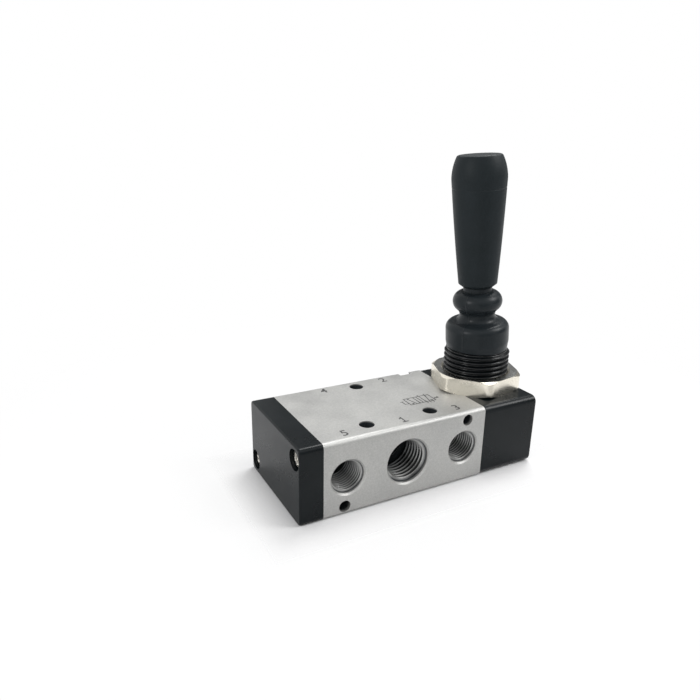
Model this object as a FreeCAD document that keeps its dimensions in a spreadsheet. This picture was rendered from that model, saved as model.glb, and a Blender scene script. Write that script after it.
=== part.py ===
import FreeCAD, Part
import math
import os
import re

import Sketcher

# A hand lever air valve: a five port, two position spool valve of the 22 x 35 mm body size.
# The spool lies along X in an aluminium body, an end cap closes its left end, and a lever
# in a ball pivot on the housing at its right end pushes the spool from one stop to the other.
# The origin is the centre of the body's bottom face. +Z is up and the front ports face -Y.
# The lever stands as the photograph shows it, leaning towards the end cap.

doc = FreeCAD.newDocument("HandLeverAirValve")
sheet = doc.addObject("Spreadsheet::Sheet", "Sizes")

# Driving sizes in millimetres and degrees. Each has its alias, its value and its meaning.
drivingSizes = [
    ("bodyLength", 51.8, "aluminium body along X"),
    ("bodyWidth", 35.0, "body, cap and housing along Y"),
    ("bodyHeight", 22.0, "body, cap and housing along Z"),
    ("boreHeight", 11.0, "spool axis above the bottom face"),
    ("bodyEdge", 1.3, "rounding of the long edges of body and cap"),
    ("capLength", 6.8, "end cap along X"),
    ("capRimEdge", 0.45, "rounding round the cap's end face"),
    ("housingLength", 20.0, "lever housing along X"),
    ("housingEdge", 2.1, "rounding of the housing's long edges"),
    ("housingRimEdge", 0.7, "rounding round the housing's end face"),
    ("spoolBoreRadius", 5.0, "sealing bore in the body"),
    ("galleryRadius", 5.9, "ring grooves round the bore at the ports"),
    ("mainGallery", 4.4, "width of the ring grooves of the three main ports"),
    ("exhaustGallery", 3.6, "width of the ring grooves of the two exhaust ports"),
    ("workingPortPitch", 21.0, "between the two ports on the back"),
    ("exhaustPortInset", 7.2, "exhaust ports from the body's ends"),
    ("mainThreadRadius", 6.58, "wall of the G 1/4 threads, at their roots"),
    ("mainThreadDepth", 11.0, "depth of the G 1/4 threads"),
    ("mainMouth", 0.45, "chamfer at the mouth of the G 1/4 threads"),
    ("mainPassageRadius", 4.0, "drilling from a G 1/4 thread to its ring groove"),
    ("exhaustThreadRadius", 4.86, "wall of the G 1/8 threads, at their roots"),
    ("exhaustThreadDepth", 10.8, "depth of the G 1/8 threads"),
    ("exhaustMouth", 0.45, "chamfer at the mouth of the G 1/8 threads"),
    ("exhaustPassageRadius", 2.8, "drilling from a G 1/8 thread to its ring groove"),
    ("passageOverlap", 0.4, "how far a drilling runs into its ring groove"),
    ("mountHoleRadius", 2.15, "through holes for M4 from the top"),
    ("backMountInset", 4.6, "the middle hole from the back face"),
    ("frontMountInset", 5.75, "the two outer holes from the front face"),
    ("frontMountPitch", 20.6, "between the two outer holes"),
    ("crossHoleRadius", 1.7, "through holes for M3 along Y"),
    ("crossHoleInset", 6.25, "cross holes from the body's ends"),
    ("crossHoleDrop", 2.55, "cross holes from the top and the bottom face"),
    ("crossSeatRadius", 3.25, "counterbore of the cross holes in the back"),
    ("crossSeatDepth", 2.5, "depth of those counterbores"),
    ("screwInset", 3.2, "end screws from the front and the back face"),
    ("screwDrop", 4.0, "end screws from the top and the bottom face"),
    ("screwRadius", 1.5, "M3 screw shank"),
    ("screwHoleRadius", 1.7, "clearance hole for the M3 screws"),
    ("screwHeadRadius", 2.75, "pan head of the M3 screws"),
    ("screwHeadHeight", 1.9, "pan head along X"),
    ("screwHeadRounding", 0.8, "rounding of the pan head's rim"),
    ("screwSeatGap", 0.2, "room round a screw head in its counterbore"),
    ("screwSeatDepth", 2.7, "counterbores for the heads in cap and housing"),
    ("screwReach", 4.0, "screw thread inside the body"),
    ("screwTipGap", 0.2, "thread left free beyond a screw's tip"),
    ("threadClearance", 0.02, "between a screwed or pressed piece and its hole"),
    ("sealWire", 0.6, "radius of the section of every rubber ring"),
    ("faceSealRadius", 6.7, "ring radius of the end seals at their section's middle"),
    ("faceSealSlack", 0.06, "room beside an end seal in its groove"),
    ("spoolClearance", 0.1, "between the spool's lands and the bore"),
    ("sealClearance", 0.03, "between the spool seals and the bore"),
    ("sealGrooveSlack", 0.05, "room on each side of a spool seal in its groove"),
    ("landWidth", 3.2, "width of each land on the spool"),
    ("outerLand", 12.7, "land between a working port and its exhaust, from the middle"),
    ("innerLand", 8.3, "land between a working port and the supply, from the middle"),
    ("endLandInset", 2.7, "land outside an exhaust port, from the body's end"),
    ("spoolNeckRadius", 3.0, "spool between its lands"),
    ("stemRadius", 3.6, "spool end that the lever moves"),
    ("stemEndWall", 2.4, "stem beyond the lever's socket"),
    ("capPocketRadius", 5.3, "room for the spool's end in the cap"),
    ("capPocketDepth", 2.6, "depth of that room"),
    ("cavityRadius", 5.3, "room for the spool's stem in the housing"),
    ("stemRoom", 2.5, "room beyond the stem's end at its right stop"),
    ("leverInset", 9.7, "lever axis from the body's end along X"),
    ("pivotHeight", 33.0, "middle of the lever's ball above the bottom face"),
    ("leverLean", 5.0, "lean of the lever from upright at each stop, degrees"),
    ("pivotBallRadius", 4.2, "ball that the lever turns on"),
    ("pivotClearance", 0.06, "between ball and seats"),
    ("seatGap", 1.8, "pivot seats from the ball's middle"),
    ("seatHeight", 2.2, "height of each pivot seat"),
    ("seatBore", 3.3, "lever passage through the seats"),
    ("socketRadius", 5.2, "pocket in the collar that holds the seats"),
    ("retainerHeight", 0.8, "retaining ring along Z"),
    ("retainerBite", 0.5, "retaining ring's reach into the collar's wall"),
    ("retainerBore", 3.8, "lever passage through the retaining ring"),
    ("retainerGapAngle", 30.0, "opening of the retaining ring, degrees"),
    ("collarThreadRadius", 10.0, "M20 thread of the collar"),
    ("pivotDepth", 1.2, "middle of the lever's ball below the top of that thread"),
    ("collarThreadEdge", 0.6, "chamfer at the top of that thread"),
    ("collarStubRadius", 8.0, "collar end screwed into the housing"),
    ("collarStubDepth", 6.0, "how deep the collar goes into the housing"),
    ("collarThroatRadius", 4.7, "passage for the lever below the seats"),
    ("spigotRadius", 7.7, "collar above the thread, inside the boot"),
    ("spigotHeight", 4.0, "collar above the thread, along Z"),
    ("nutAcrossFlats", 25.0, "panel nut across flats"),
    ("nutThickness", 6.0, "panel nut along Z"),
    ("nutTurn", 5.0, "turn of the nut from square to the body, degrees"),
    ("nutChamferRadius", 12.4, "end faces of the nut"),
    ("nutChamferAngle", 30.0, "chamfer angle of the nut's corners, degrees"),
    ("nutBoreEdge", 0.5, "chamfer of the nut's thread"),
    ("rodRadius", 2.5, "lever rod above its ball"),
    ("rodTailRadius", 1.8, "lever rod below its ball"),
    ("footRadius", 2.2, "ball at the lever's lower end"),
    ("footClearance", 0.05, "between that ball and its socket in the spool"),
    ("socketFloor", 2.4, "bottom of that socket below the spool axis"),
    ("detentBallRadius", 1.4, "ball that holds the spool at its stops"),
    ("detentRoom", 0.05, "detent ball below the stem, as pressed back"),
    ("detentHoleRadius", 1.46, "hole for the detent ball and its spring"),
    ("detentFloor", 1.8, "bottom of that hole above the bottom face"),
    ("detentGrooveDepth", 0.35, "stop grooves in the stem"),
    ("detentGrooveWidth", 1.2, "stop grooves in the stem, along X"),
    ("springWire", 0.3, "side of the detent spring's square wire"),
    ("springRadius", 1.2, "detent spring, middle of its wire"),
    ("springTurns", 4.0, "turns of the detent spring"),
    ("bootWall", 1.1, "thickness of the rubber boot"),
    ("bootRadius", 9.7, "boot at its shoulder"),
    ("bootRimRadius", 9.5, "boot at its lower rim"),
    ("bootShoulderHeight", 7.6, "start of the shoulder above the pivot"),
    ("bootShoulderRounding", 3.0, "rounding of the shoulder"),
    ("bootShoulderEnd", 6.7, "radius where the shoulder turns to the waist"),
    ("bootShoulderTop", 10.6, "height of that turn above the pivot"),
    ("bootWaistRounding", 1.33, "hollow between shoulder and bulge"),
    ("bootBulgeStart", 5.93, "radius where that hollow turns to the bulge"),
    ("bootBulgeHeight", 13.0, "height of that turn above the pivot"),
    ("bootBulgeRounding", 3.75, "bulge above the waist"),
    ("bootLipRadius", 4.45, "neck at the upper end of the boot"),
    ("bootNeckHeight", 19.75, "start of that neck above the pivot"),
    ("bootLipHeight", 20.4, "upper end of the boot above the pivot"),
    ("bootRodGap", 0.1, "between the boot's lip and the rod"),
    ("bootRimGap", 0.05, "between the boot's rim and the collar's thread"),
    ("gripBottom", 20.6, "lower end of the grip above the pivot"),
    ("gripFootRadius", 4.5, "grip at its lower end"),
    ("gripFlareRadius", 5.75, "grip above its foot"),
    ("gripFlareHeight", 1.0, "height of the foot"),
    ("gripFlareRounding", 2.2, "rounding of the foot"),
    ("gripMaxRadius", 7.86, "grip at its widest"),
    ("gripMaxHeight", 52.0, "widest place above the pivot"),
    ("gripSideRounding", 800.0, "gentle curve of the grip's side"),
    ("gripCrownRounding", 15.0, "rounding of the grip's top"),
    ("gripTopRadius", 6.25, "flat top of the grip"),
    ("gripTop", 59.0, "top of the grip above the pivot"),
    ("insertRadius", 3.6, "threaded insert in the grip"),
    ("insertLength", 12.5, "threaded insert along the lever"),
    ("rodTipGap", 0.6, "insert beyond the rod's tip"),
]
for row, (alias, number, meaning) in enumerate(drivingSizes, start=1):
    sheet.set("A%d" % row, meaning)
    sheet.set("B%d" % row, str(number))
    sheet.setAlias("B%d" % row, alias)
doc.recompute()

functionNames = {"sin", "cos", "tan", "sqrt"}

# Places that follow from the driving sizes, used by name in the formulas below.
derivedSizes = {
    "halfLength": "(bodyLength / 2)",
    "halfWidth": "(bodyWidth / 2)",
    "topFace": "(bodyHeight - boreHeight)",
    "exhaustPlace": "(bodyLength / 2 - exhaustPortInset)",
    "workingPlace": "(workingPortPitch / 2)",
    "crossPlace": "(bodyLength / 2 - crossHoleInset)",
    "endLand": "(bodyLength / 2 - endLandInset)",
    "leverPlace": "(bodyLength / 2 + leverInset)",
    "collarThreadTop": "(pivotHeight + pivotDepth)",
    "footArm": "(pivotHeight - boreHeight)",
    "spoolShift": "((pivotHeight - boreHeight) * sin(leverLean))",
}


def bound(text):
    """Turn a formula in plain size names into an expression on the sheet."""
    def link(match):
        word = match.group(0)
        if word in derivedSizes:
            return bound(derivedSizes[word])
        return word if word in functionNames else "Sizes." + word
    return re.sub(r"[A-Za-z]+", link, text)


def value(text):
    """Work out a formula in plain size names."""
    return float(sheet.evalExpression(bound(text)))


def drive(item, path, text):
    """Bind a property to a formula, and give it that value at once."""
    item.setExpression(path, bound(text))


def newBody(label, x="0", z="0"):
    body = doc.addObject("PartDesign::Body", label)
    body.Label = label
    drive(body, "Placement.Base.x", x)
    drive(body, "Placement.Base.z", z)
    return body


def newSketch(body, role, offset="0"):
    """A sketch on one of the body's own origin planes, moved along that plane's normal."""
    sketch = body.newObject("Sketcher::SketchObject", body.Label + "_sketch")
    datum = next(item for item in body.Origin.OriginFeatures if item.Role == role)
    sketch.AttachmentSupport = [(datum, "")]
    sketch.MapMode = "FlatFace"
    drive(sketch, "AttachmentOffset.Base.z", offset)
    return sketch


def hold(sketch, curve, corner, x, y):
    """Keep one end or centre of a curve at x, y, both formulas, measured from the origin."""
    for kind, text in (("DistanceX", x), ("DistanceY", y)):
        number = sketch.addConstraint(
            Sketcher.Constraint(kind, -1, 1, curve, corner, value(text)))
        sketch.renameConstraint(number, "%sOf%dAt%d" % (kind, curve, corner))
        drive(sketch, "Constraints.%sOf%dAt%d" % (kind, curve, corner), text)


def holdRadius(sketch, curve, text):
    number = sketch.addConstraint(Sketcher.Constraint("Radius", curve, value(text)))
    sketch.renameConstraint(number, "radiusOf%d" % curve)
    drive(sketch, "Constraints.radiusOf%d" % curve, text)


def drawCircle(sketch, x, y, radius):
    centre = FreeCAD.Vector(value(x), value(y), 0)
    curve = sketch.addGeometry(Part.Circle(centre, FreeCAD.Vector(0, 0, 1), value(radius)))
    hold(sketch, curve, 3, x, y)
    holdRadius(sketch, curve, radius)


def arcBetween(start, end, radius, side):
    """The short arc from start to end that swells to the left (side 1) or right (side -1)."""
    chord = end - start
    half = chord.Length / 2
    normal = FreeCAD.Vector(-chord.y, chord.x, 0).normalize() * side
    centre = (start + end) / 2 - normal * math.sqrt(radius ** 2 - half ** 2)
    circle = Part.Circle(centre, FreeCAD.Vector(0, 0, 1), radius)
    first, last = (end, start) if side > 0 else (start, end)
    angles = [math.atan2(p.y - centre.y, p.x - centre.x) for p in (first, last)]
    return Part.ArcOfCircle(circle, angles[0], angles[1])


def drawOutline(sketch, corners, arcs=None):
    """A closed outline through corners, each a pair of formulas.

    arcs gives, for the edge that starts at a corner, a radius and the side it swells to.
    """
    arcs = arcs or {}
    places = [FreeCAD.Vector(value(x), value(y), 0) for x, y in corners]
    ends = []
    for index, place in enumerate(places):
        following = places[(index + 1) % len(places)]
        if index in arcs:
            radius, side = arcs[index]
            curve = sketch.addGeometry(arcBetween(place, following, value(radius), side))
            ends.append((curve, 2, 1) if side > 0 else (curve, 1, 2))
        else:
            curve = sketch.addGeometry(Part.LineSegment(place, following))
            ends.append((curve, 1, 2))
    for index, (x, y) in enumerate(corners):
        curve, first, last = ends[index]
        before, beforeFirst, beforeLast = ends[index - 1]
        sketch.addConstraint(Sketcher.Constraint("Coincident", before, beforeLast, curve, first))
        hold(sketch, curve, first, x, y)
        if index in arcs:
            holdRadius(sketch, curve, arcs[index][0])


def drawRectangle(sketch, left, bottom, right, top):
    drawOutline(sketch, [(left, bottom), (right, bottom), (right, top), (left, top)])


def pad(body, sketch, length):
    feature = body.newObject("PartDesign::Pad", body.Label + "_pad")
    feature.Profile = sketch
    drive(feature, "Length", length)
    doc.recompute()
    return feature


def cut(body, sketch, depth, along=False):
    """Cut a sketch into the solid, against its normal or along it. No depth cuts through."""
    before = body.Shape.Volume
    feature = body.newObject("PartDesign::Pocket", body.Label + "_pocket")
    feature.Profile = sketch
    if depth:
        drive(feature, "Length", depth)
    else:
        feature.Type = "ThroughAll"
    feature.Reversed = along
    doc.recompute()
    if body.Shape.Volume > before - 0.01:
        raise RuntimeError("a cut in %s removed nothing" % body.Label)
    return feature


def turn(body, sketch, axis="V_Axis", angle="360"):
    feature = body.newObject("PartDesign::Revolution", body.Label + "_turned")
    feature.Profile = sketch
    feature.ReferenceAxis = (sketch, [axis])
    drive(feature, "Angle", angle)
    doc.recompute()
    return feature


def turnedCut(body, sketch, axis="V_Axis"):
    before = body.Shape.Volume
    feature = body.newObject("PartDesign::Groove", body.Label + "_groove")
    feature.Profile = sketch
    feature.ReferenceAxis = (sketch, [axis])
    feature.Angle = 360
    doc.recompute()
    if body.Shape.Volume > before - 0.01:
        raise RuntimeError("a groove in %s removed nothing" % body.Label)
    return feature


def edgeNames(shape, chosen):
    return ["Edge%d" % (i + 1) for i, edge in enumerate(shape.Edges) if chosen(edge)]


def dress(body, kind, base, chosen, size):
    """Add a Fillet or a Chamfer on the base feature's edges that chosen picks."""
    feature = body.newObject("PartDesign::" + kind, body.Label + "_" + kind.lower())
    feature.Base = (base, edgeNames(base.Shape, chosen))
    drive(feature, "Radius" if kind == "Fillet" else "Size", size)
    doc.recompute()
    return feature


def runsAlongX(edge):
    size = edge.BoundBox
    return size.YLength < 0.001 and size.ZLength < 0.001


def liesAtX(x):
    """Picks the edges that lie in the plane at x."""
    def chosen(edge):
        return edge.BoundBox.XLength < 0.001 and abs(edge.BoundBox.XMin - x) < 0.001
    return chosen


def circleOfRadius(radius):
    """Picks the circles of one radius."""
    def chosen(edge):
        return edge.Curve.TypeId == "Part::GeomCircle" and abs(edge.Curve.Radius - radius) < 0.001
    return chosen


def circleAtY(y, radius):
    """Picks the circles of one radius that lie in the plane at y."""
    def chosen(edge):
        flat = edge.BoundBox.YLength < 0.001 and abs(edge.BoundBox.YMin - y) < 0.001
        return flat and circleOfRadius(radius)(edge)
    return chosen


# The body, the cap and the housing share one rounded section, and lie with the spool's
# axis on their own X axis.

endScrewPlaces = [
    ("screwInset - halfWidth", "topFace - screwDrop"),
    ("halfWidth - screwInset", "screwDrop - boreHeight"),
]
screwSeatRadius = "screwHeadRadius + screwSeatGap"


def blockAlongX(label, start, length, edge):
    """A bar of the valve's section from start, with its long edges rounded."""
    body = newBody(label, z="boreHeight")
    section = newSketch(body, "YZ_Plane", start)
    drawRectangle(section, "-halfWidth", "-boreHeight", "halfWidth", "topFace")
    bar = pad(body, section, length)
    return body, dress(body, "Fillet", bar, runsAlongX, edge)


def cutCircles(body, role, offset, circles, depth, along=False):
    sketch = newSketch(body, role, offset)
    for x, y, radius in circles:
        drawCircle(sketch, x, y, radius)
    return cut(body, sketch, depth, along)


def cutPorts(body, places, kind, front):
    """The threads of one size on one face, with their mouths and the drillings behind them."""
    side = "halfWidth" if front else "-halfWidth"
    threads = [(x, "0", kind + "ThreadRadius") for x in places]
    passages = [(x, "0", kind + "PassageRadius") for x in places]
    floor = "halfWidth - galleryRadius + passageOverlap"
    cutCircles(body, "XZ_Plane", side, passages, floor, along=not front)
    bored = cutCircles(body, "XZ_Plane", side, threads, kind + "ThreadDepth", along=not front)
    mouth = circleAtY(-value(side), value(kind + "ThreadRadius"))
    dress(body, "Chamfer", bored, mouth, kind + "Mouth")


def makeValveBody():
    body, _ = blockAlongX("valve_body", "-halfLength", "bodyLength", "bodyEdge")
    cutCircles(body, "YZ_Plane", "halfLength", [("0", "0", "spoolBoreRadius")], None)
    galleries = newSketch(body, "XY_Plane")
    for place, width in (
        ("0", "mainGallery"),
        ("-workingPlace", "mainGallery"),
        ("workingPlace", "mainGallery"),
        ("-exhaustPlace", "exhaustGallery"),
        ("exhaustPlace", "exhaustGallery"),
    ):
        left = "%s - %s / 2" % (place, width)
        right = "%s + %s / 2" % (place, width)
        drawRectangle(galleries, left, "0", right, "galleryRadius")
    turnedCut(body, galleries, "H_Axis")
    cutPorts(body, ["0"], "main", front=True)
    cutPorts(body, ["-exhaustPlace", "exhaustPlace"], "exhaust", front=True)
    cutPorts(body, ["-workingPlace", "workingPlace"], "main", front=False)
    mountHoles = [
        ("0", "halfWidth - backMountInset", "mountHoleRadius"),
        ("-frontMountPitch / 2", "frontMountInset - halfWidth", "mountHoleRadius"),
        ("frontMountPitch / 2", "frontMountInset - halfWidth", "mountHoleRadius"),
    ]
    cutCircles(body, "XY_Plane", "topFace", mountHoles, None)
    crossPlaces = [("-crossPlace", "crossHoleDrop - boreHeight"), ("crossPlace", "topFace - crossHoleDrop")]
    crossHoles = [(x, z, "crossHoleRadius") for x, z in crossPlaces]
    crossSeats = [(x, z, "crossSeatRadius") for x, z in crossPlaces]
    cutCircles(body, "XZ_Plane", "halfWidth", crossHoles, None)
    cutCircles(body, "XZ_Plane", "-halfWidth", crossSeats, "crossSeatDepth", along=True)
    screwHoles = [(y, z, "screwRadius") for y, z in endScrewPlaces]
    holeDepth = "screwReach + screwTipGap"
    cutCircles(body, "YZ_Plane", "-halfLength", screwHoles, holeDepth, along=True)
    cutCircles(body, "YZ_Plane", "halfLength", screwHoles, holeDepth)
    return body


def cutFaceSealGroove(body, face, along):
    """The ring groove for an end seal, cut into the face that meets the body."""
    sketch = newSketch(body, "YZ_Plane", face)
    drawCircle(sketch, "0", "0", "faceSealRadius + sealWire + faceSealSlack")
    drawCircle(sketch, "0", "0", "faceSealRadius - sealWire - faceSealSlack")
    cut(body, sketch, "2 * sealWire", along)


def makeEndCap():
    outerFace = "-halfLength - capLength"
    body, bar = blockAlongX("end_cap", outerFace, "capLength", "bodyEdge")
    dress(body, "Fillet", bar, liesAtX(value(outerFace)), "capRimEdge")
    cutCircles(body, "YZ_Plane", "-halfLength", [("0", "0", "capPocketRadius")], "capPocketDepth")
    cutFaceSealGroove(body, "-halfLength", along=False)
    holes = [(y, z, "screwHoleRadius") for y, z in endScrewPlaces]
    seats = [(y, z, screwSeatRadius) for y, z in endScrewPlaces]
    cutCircles(body, "YZ_Plane", "-halfLength", holes, None)
    cutCircles(body, "YZ_Plane", outerFace, seats, "screwSeatDepth", along=True)
    return body


def makeLeverHousing():
    outerFace = "halfLength + housingLength"
    body, bar = blockAlongX("lever_housing", "halfLength", "housingLength", "housingEdge")
    dress(body, "Fillet", bar, liesAtX(value(outerFace)), "housingRimEdge")
    stemEnd = "leverPlace + footRadius + footClearance + stemEndWall + stemRoom"
    cavity = [("0", "0", "cavityRadius")]
    cutCircles(body, "YZ_Plane", "halfLength", cavity, stemEnd + " - halfLength", along=True)
    cutFaceSealGroove(body, "halfLength", along=True)
    collarHole = [("leverPlace", "0", "collarStubRadius")]
    leverHole = [("leverPlace", "0", "cavityRadius - threadClearance")]
    detentHole = [("leverPlace", "0", "detentHoleRadius")]
    cutCircles(body, "XY_Plane", "topFace", collarHole, "collarStubDepth")
    cutCircles(body, "XY_Plane", "topFace", leverHole, "topFace")
    cutCircles(body, "XY_Plane", "topFace", detentHole, "bodyHeight - detentFloor")
    holes = [(y, z, "screwHoleRadius") for y, z in endScrewPlaces]
    seats = [(y, z, screwSeatRadius) for y, z in endScrewPlaces]
    cutCircles(body, "YZ_Plane", outerFace, holes, None)
    cutCircles(body, "YZ_Plane", outerFace, seats, "screwSeatDepth")
    return body


def makeEndScrews(label, seatFace, gripLength, facing):
    """Two pan head screws in one node: shank and head turned about X, heads facing out.

    facing is "-" for heads towards -X and "" for heads towards +X.
    """
    screws = []
    for number, (y, z) in enumerate(endScrewPlaces, start=1):
        screw = newBody("%s_%d" % (label, number), x=seatFace, z="boreHeight + " + z)
        drive(screw, "Placement.Base.y", y)
        other = "" if facing else "-"
        profile = newSketch(screw, "XY_Plane")
        shank = "screwRadius - threadClearance"
        headEnd = facing + "screwHeadHeight"
        rimStart = facing + "(screwHeadHeight - screwHeadRounding)"
        tip = other + "(%s + screwReach)" % gripLength
        corners = [
            (tip, "0"), (tip, shank), ("0", shank), ("0", "screwHeadRadius"),
            (rimStart, "screwHeadRadius"), (headEnd, "screwHeadRadius - screwHeadRounding"), (headEnd, "0"),
        ]
        swell = 1 if facing == "" else -1
        drawOutline(profile, corners, {4: ("screwHeadRounding", swell)})
        turn(screw, profile, "H_Axis")
        screws.append(screw)
    group = doc.addObject("Part::Compound", label)
    group.Label = label
    group.Links = screws
    return group


def makeFaceSeal(label, x):
    seal = doc.addObject("Part::Torus", label)
    seal.Label = label
    drive(seal, "Radius1", "faceSealRadius")
    drive(seal, "Radius2", "sealWire")
    seal.Placement = FreeCAD.Placement(FreeCAD.Vector(), FreeCAD.Rotation(FreeCAD.Vector(0, 1, 0), 90))
    drive(seal, "Placement.Base.x", x)
    drive(seal, "Placement.Base.z", "boreHeight")
    return seal


# The collar is turned about the lever's upright axis, with its own origin at the pivot.

aboveHousing = "(bodyHeight - pivotHeight)"
threadTop = "(collarThreadTop - pivotHeight)"
spigotTop = "(collarThreadTop + spigotHeight - pivotHeight)"
seatShoulder = "-(seatGap + seatHeight)"
retainerBottom = "(seatGap + seatHeight)"
retainerTop = "(seatGap + seatHeight + retainerHeight)"


def makeThreadedCollar():
    body = newBody("threaded_collar", x="leverPlace", z="pivotHeight")
    stub = "collarStubRadius - threadClearance"
    stubEnd = "bodyHeight - collarStubDepth - pivotHeight"
    groove = "socketRadius + retainerBite"
    profile = newSketch(body, "XZ_Plane")
    drawOutline(profile, [
        ("collarThroatRadius", stubEnd), (stub, stubEnd), (stub, aboveHousing),
        ("collarThreadRadius", aboveHousing), ("collarThreadRadius", threadTop + " - collarThreadEdge"),
        ("collarThreadRadius - collarThreadEdge", threadTop), ("spigotRadius", threadTop),
        ("spigotRadius", spigotTop), ("socketRadius", spigotTop), ("socketRadius", retainerTop),
        (groove, retainerTop), (groove, retainerBottom), ("socketRadius", retainerBottom),
        ("socketRadius", seatShoulder), ("collarThroatRadius", seatShoulder),
    ])
    turn(body, profile)
    return body


def makePivotSeat(label, side):
    """A ring with a hollow for the ball, above (side 1) or below (side -1) its middle."""
    body = newBody(label, x="leverPlace", z="pivotHeight")
    hollow = "(pivotBallRadius + pivotClearance)"
    sign = "" if side > 0 else "-"
    near = sign + "seatGap"
    far = sign + "(seatGap + seatHeight)"
    edge = "sqrt(%s * %s - seatGap * seatGap)" % (hollow, hollow)
    deep = sign + "sqrt(%s * %s - seatBore * seatBore)" % (hollow, hollow)
    outside = "socketRadius - threadClearance"
    profile = newSketch(body, "XZ_Plane")
    corners = [(edge, near), (outside, near), (outside, far), ("seatBore", far), ("seatBore", deep)]
    drawOutline(profile, corners, {4: (hollow, side)})
    turn(body, profile)
    return body


def makeRetainingRing():
    body = newBody("pivot_retaining_ring", x="leverPlace", z="pivotHeight")
    profile = newSketch(body, "XZ_Plane")
    outside = "socketRadius + retainerBite - threadClearance"
    drawRectangle(profile, "retainerBore", retainerBottom, outside, retainerTop)
    turn(body, profile, angle="360 - retainerGapAngle")
    return body


def makePanelNut():
    body = newBody("panel_nut", x="leverPlace", z="bodyHeight")
    body.Placement = FreeCAD.Placement(FreeCAD.Vector(), FreeCAD.Rotation(FreeCAD.Vector(0, 0, 1), 1))
    drive(body, "Placement.Rotation.Angle", "nutTurn")
    drive(body, "Placement.Base.x", "leverPlace")
    drive(body, "Placement.Base.z", "bodyHeight")
    hexagon = newSketch(body, "XY_Plane")
    corner = "nutAcrossFlats / sqrt(3)"
    turns = range(0, 360, 60)
    drawOutline(hexagon, [("%s * cos(%d)" % (corner, a), "%s * sin(%d)" % (corner, a)) for a in turns])
    pad(body, hexagon, "nutThickness")
    inside = "collarThreadRadius + threadClearance"
    bored = cutCircles(body, "XY_Plane", "nutThickness", [("0", "0", inside)], None)
    dress(body, "Chamfer", bored, circleOfRadius(value(inside)), "nutBoreEdge")
    corners = newSketch(body, "XZ_Plane")
    rise = "(%s - nutChamferRadius + 1) * tan(nutChamferAngle)" % corner
    outside = corner + " + 1"
    drawOutline(corners, [("nutChamferRadius", "0"), (outside, "0"), (outside, rise)])
    drawOutline(corners, [("nutChamferRadius", "nutThickness"), (outside, "nutThickness"),
                          (outside, "nutThickness - " + rise)])
    turnedCut(body, corners)
    return body


# The dust boot leans with the lever, and its rim is trimmed flat to the top of the thread.

def makeDustBoot():
    body = newBody("dust_boot", x="leverPlace", z="pivotHeight")
    profile = newSketch(body, "XZ_Plane")
    profile.AttachmentOffset = FreeCAD.Placement(
        FreeCAD.Vector(), FreeCAD.Rotation(FreeCAD.Vector(0, 0, 1), 1))
    drive(profile, "AttachmentOffset.Rotation.Angle", "leverLean")
    inside = "rodRadius + bootRodGap"
    waistInside = "bootBulgeStart - 1.5 * bootWall"
    drawOutline(profile, [
        ("bootRimRadius", "0"), ("bootRadius", "bootShoulderHeight"),
        ("bootShoulderEnd", "bootShoulderTop"), ("bootBulgeStart", "bootBulgeHeight"),
        ("bootLipRadius", "bootNeckHeight"), ("bootLipRadius", "bootLipHeight"),
        (inside, "bootLipHeight"), (inside, "bootNeckHeight - bootWall"),
        ("bootLipRadius - bootWall / 2", "bootNeckHeight - bootWall"),
        (waistInside, "bootBulgeHeight + bootWall / 2"), (waistInside, "bootBulgeHeight - 1.5 * bootWall"),
        ("bootShoulderEnd - bootWall / 2", "bootShoulderTop - bootWall"),
        ("bootRadius - bootWall", "bootShoulderHeight"), ("bootRimRadius - bootWall", "0"),
    ], {
        1: ("bootShoulderRounding", -1), 2: ("bootWaistRounding", 1), 3: ("bootBulgeRounding", -1),
        8: ("bootBulgeRounding - bootWall", 1), 11: ("bootShoulderRounding - bootWall", 1),
    })
    turn(body, profile)
    trim = "collarThreadTop - pivotHeight + bootRimGap"
    cutCircles(body, "XY_Plane", trim, [("0", "0", "bootRadius + bootWall")], None)
    return body


# The lever's pieces are turned about their own Z axis through the pivot, and lean as one.

def newLeverBody(label):
    body = newBody(label)
    body.Placement = FreeCAD.Placement(FreeCAD.Vector(), FreeCAD.Rotation(FreeCAD.Vector(0, -1, 0), 1))
    drive(body, "Placement.Rotation.Angle", "leverLean")
    drive(body, "Placement.Base.x", "leverPlace")
    drive(body, "Placement.Base.z", "pivotHeight")
    return body


def makeLeverRod():
    body = newLeverBody("lever_rod")
    profile = newSketch(body, "XZ_Plane")
    footNeck = "sqrt(footRadius * footRadius - rodTailRadius * rodTailRadius) - footArm"
    ballBelow = "-sqrt(pivotBallRadius * pivotBallRadius - rodTailRadius * rodTailRadius)"
    ballAbove = "sqrt(pivotBallRadius * pivotBallRadius - rodRadius * rodRadius)"
    tip = "gripBottom + insertLength - rodTipGap"
    drawOutline(profile, [
        ("0", "-footArm - footRadius"), ("footRadius", "-footArm"), ("rodTailRadius", footNeck),
        ("rodTailRadius", ballBelow), ("pivotBallRadius", "0"), ("rodRadius", ballAbove),
        ("rodRadius", tip), ("0", tip),
    ], {
        0: ("footRadius", -1), 1: ("footRadius", -1),
        3: ("pivotBallRadius", -1), 4: ("pivotBallRadius", -1),
    })
    turn(body, profile)
    return body


def makeHandleInsert():
    body = newLeverBody("handle_insert")
    profile = newSketch(body, "XZ_Plane")
    inside = "rodRadius + threadClearance"
    drawRectangle(profile, inside, "gripBottom", "insertRadius", "gripBottom + insertLength")
    turn(body, profile)
    return body


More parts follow.
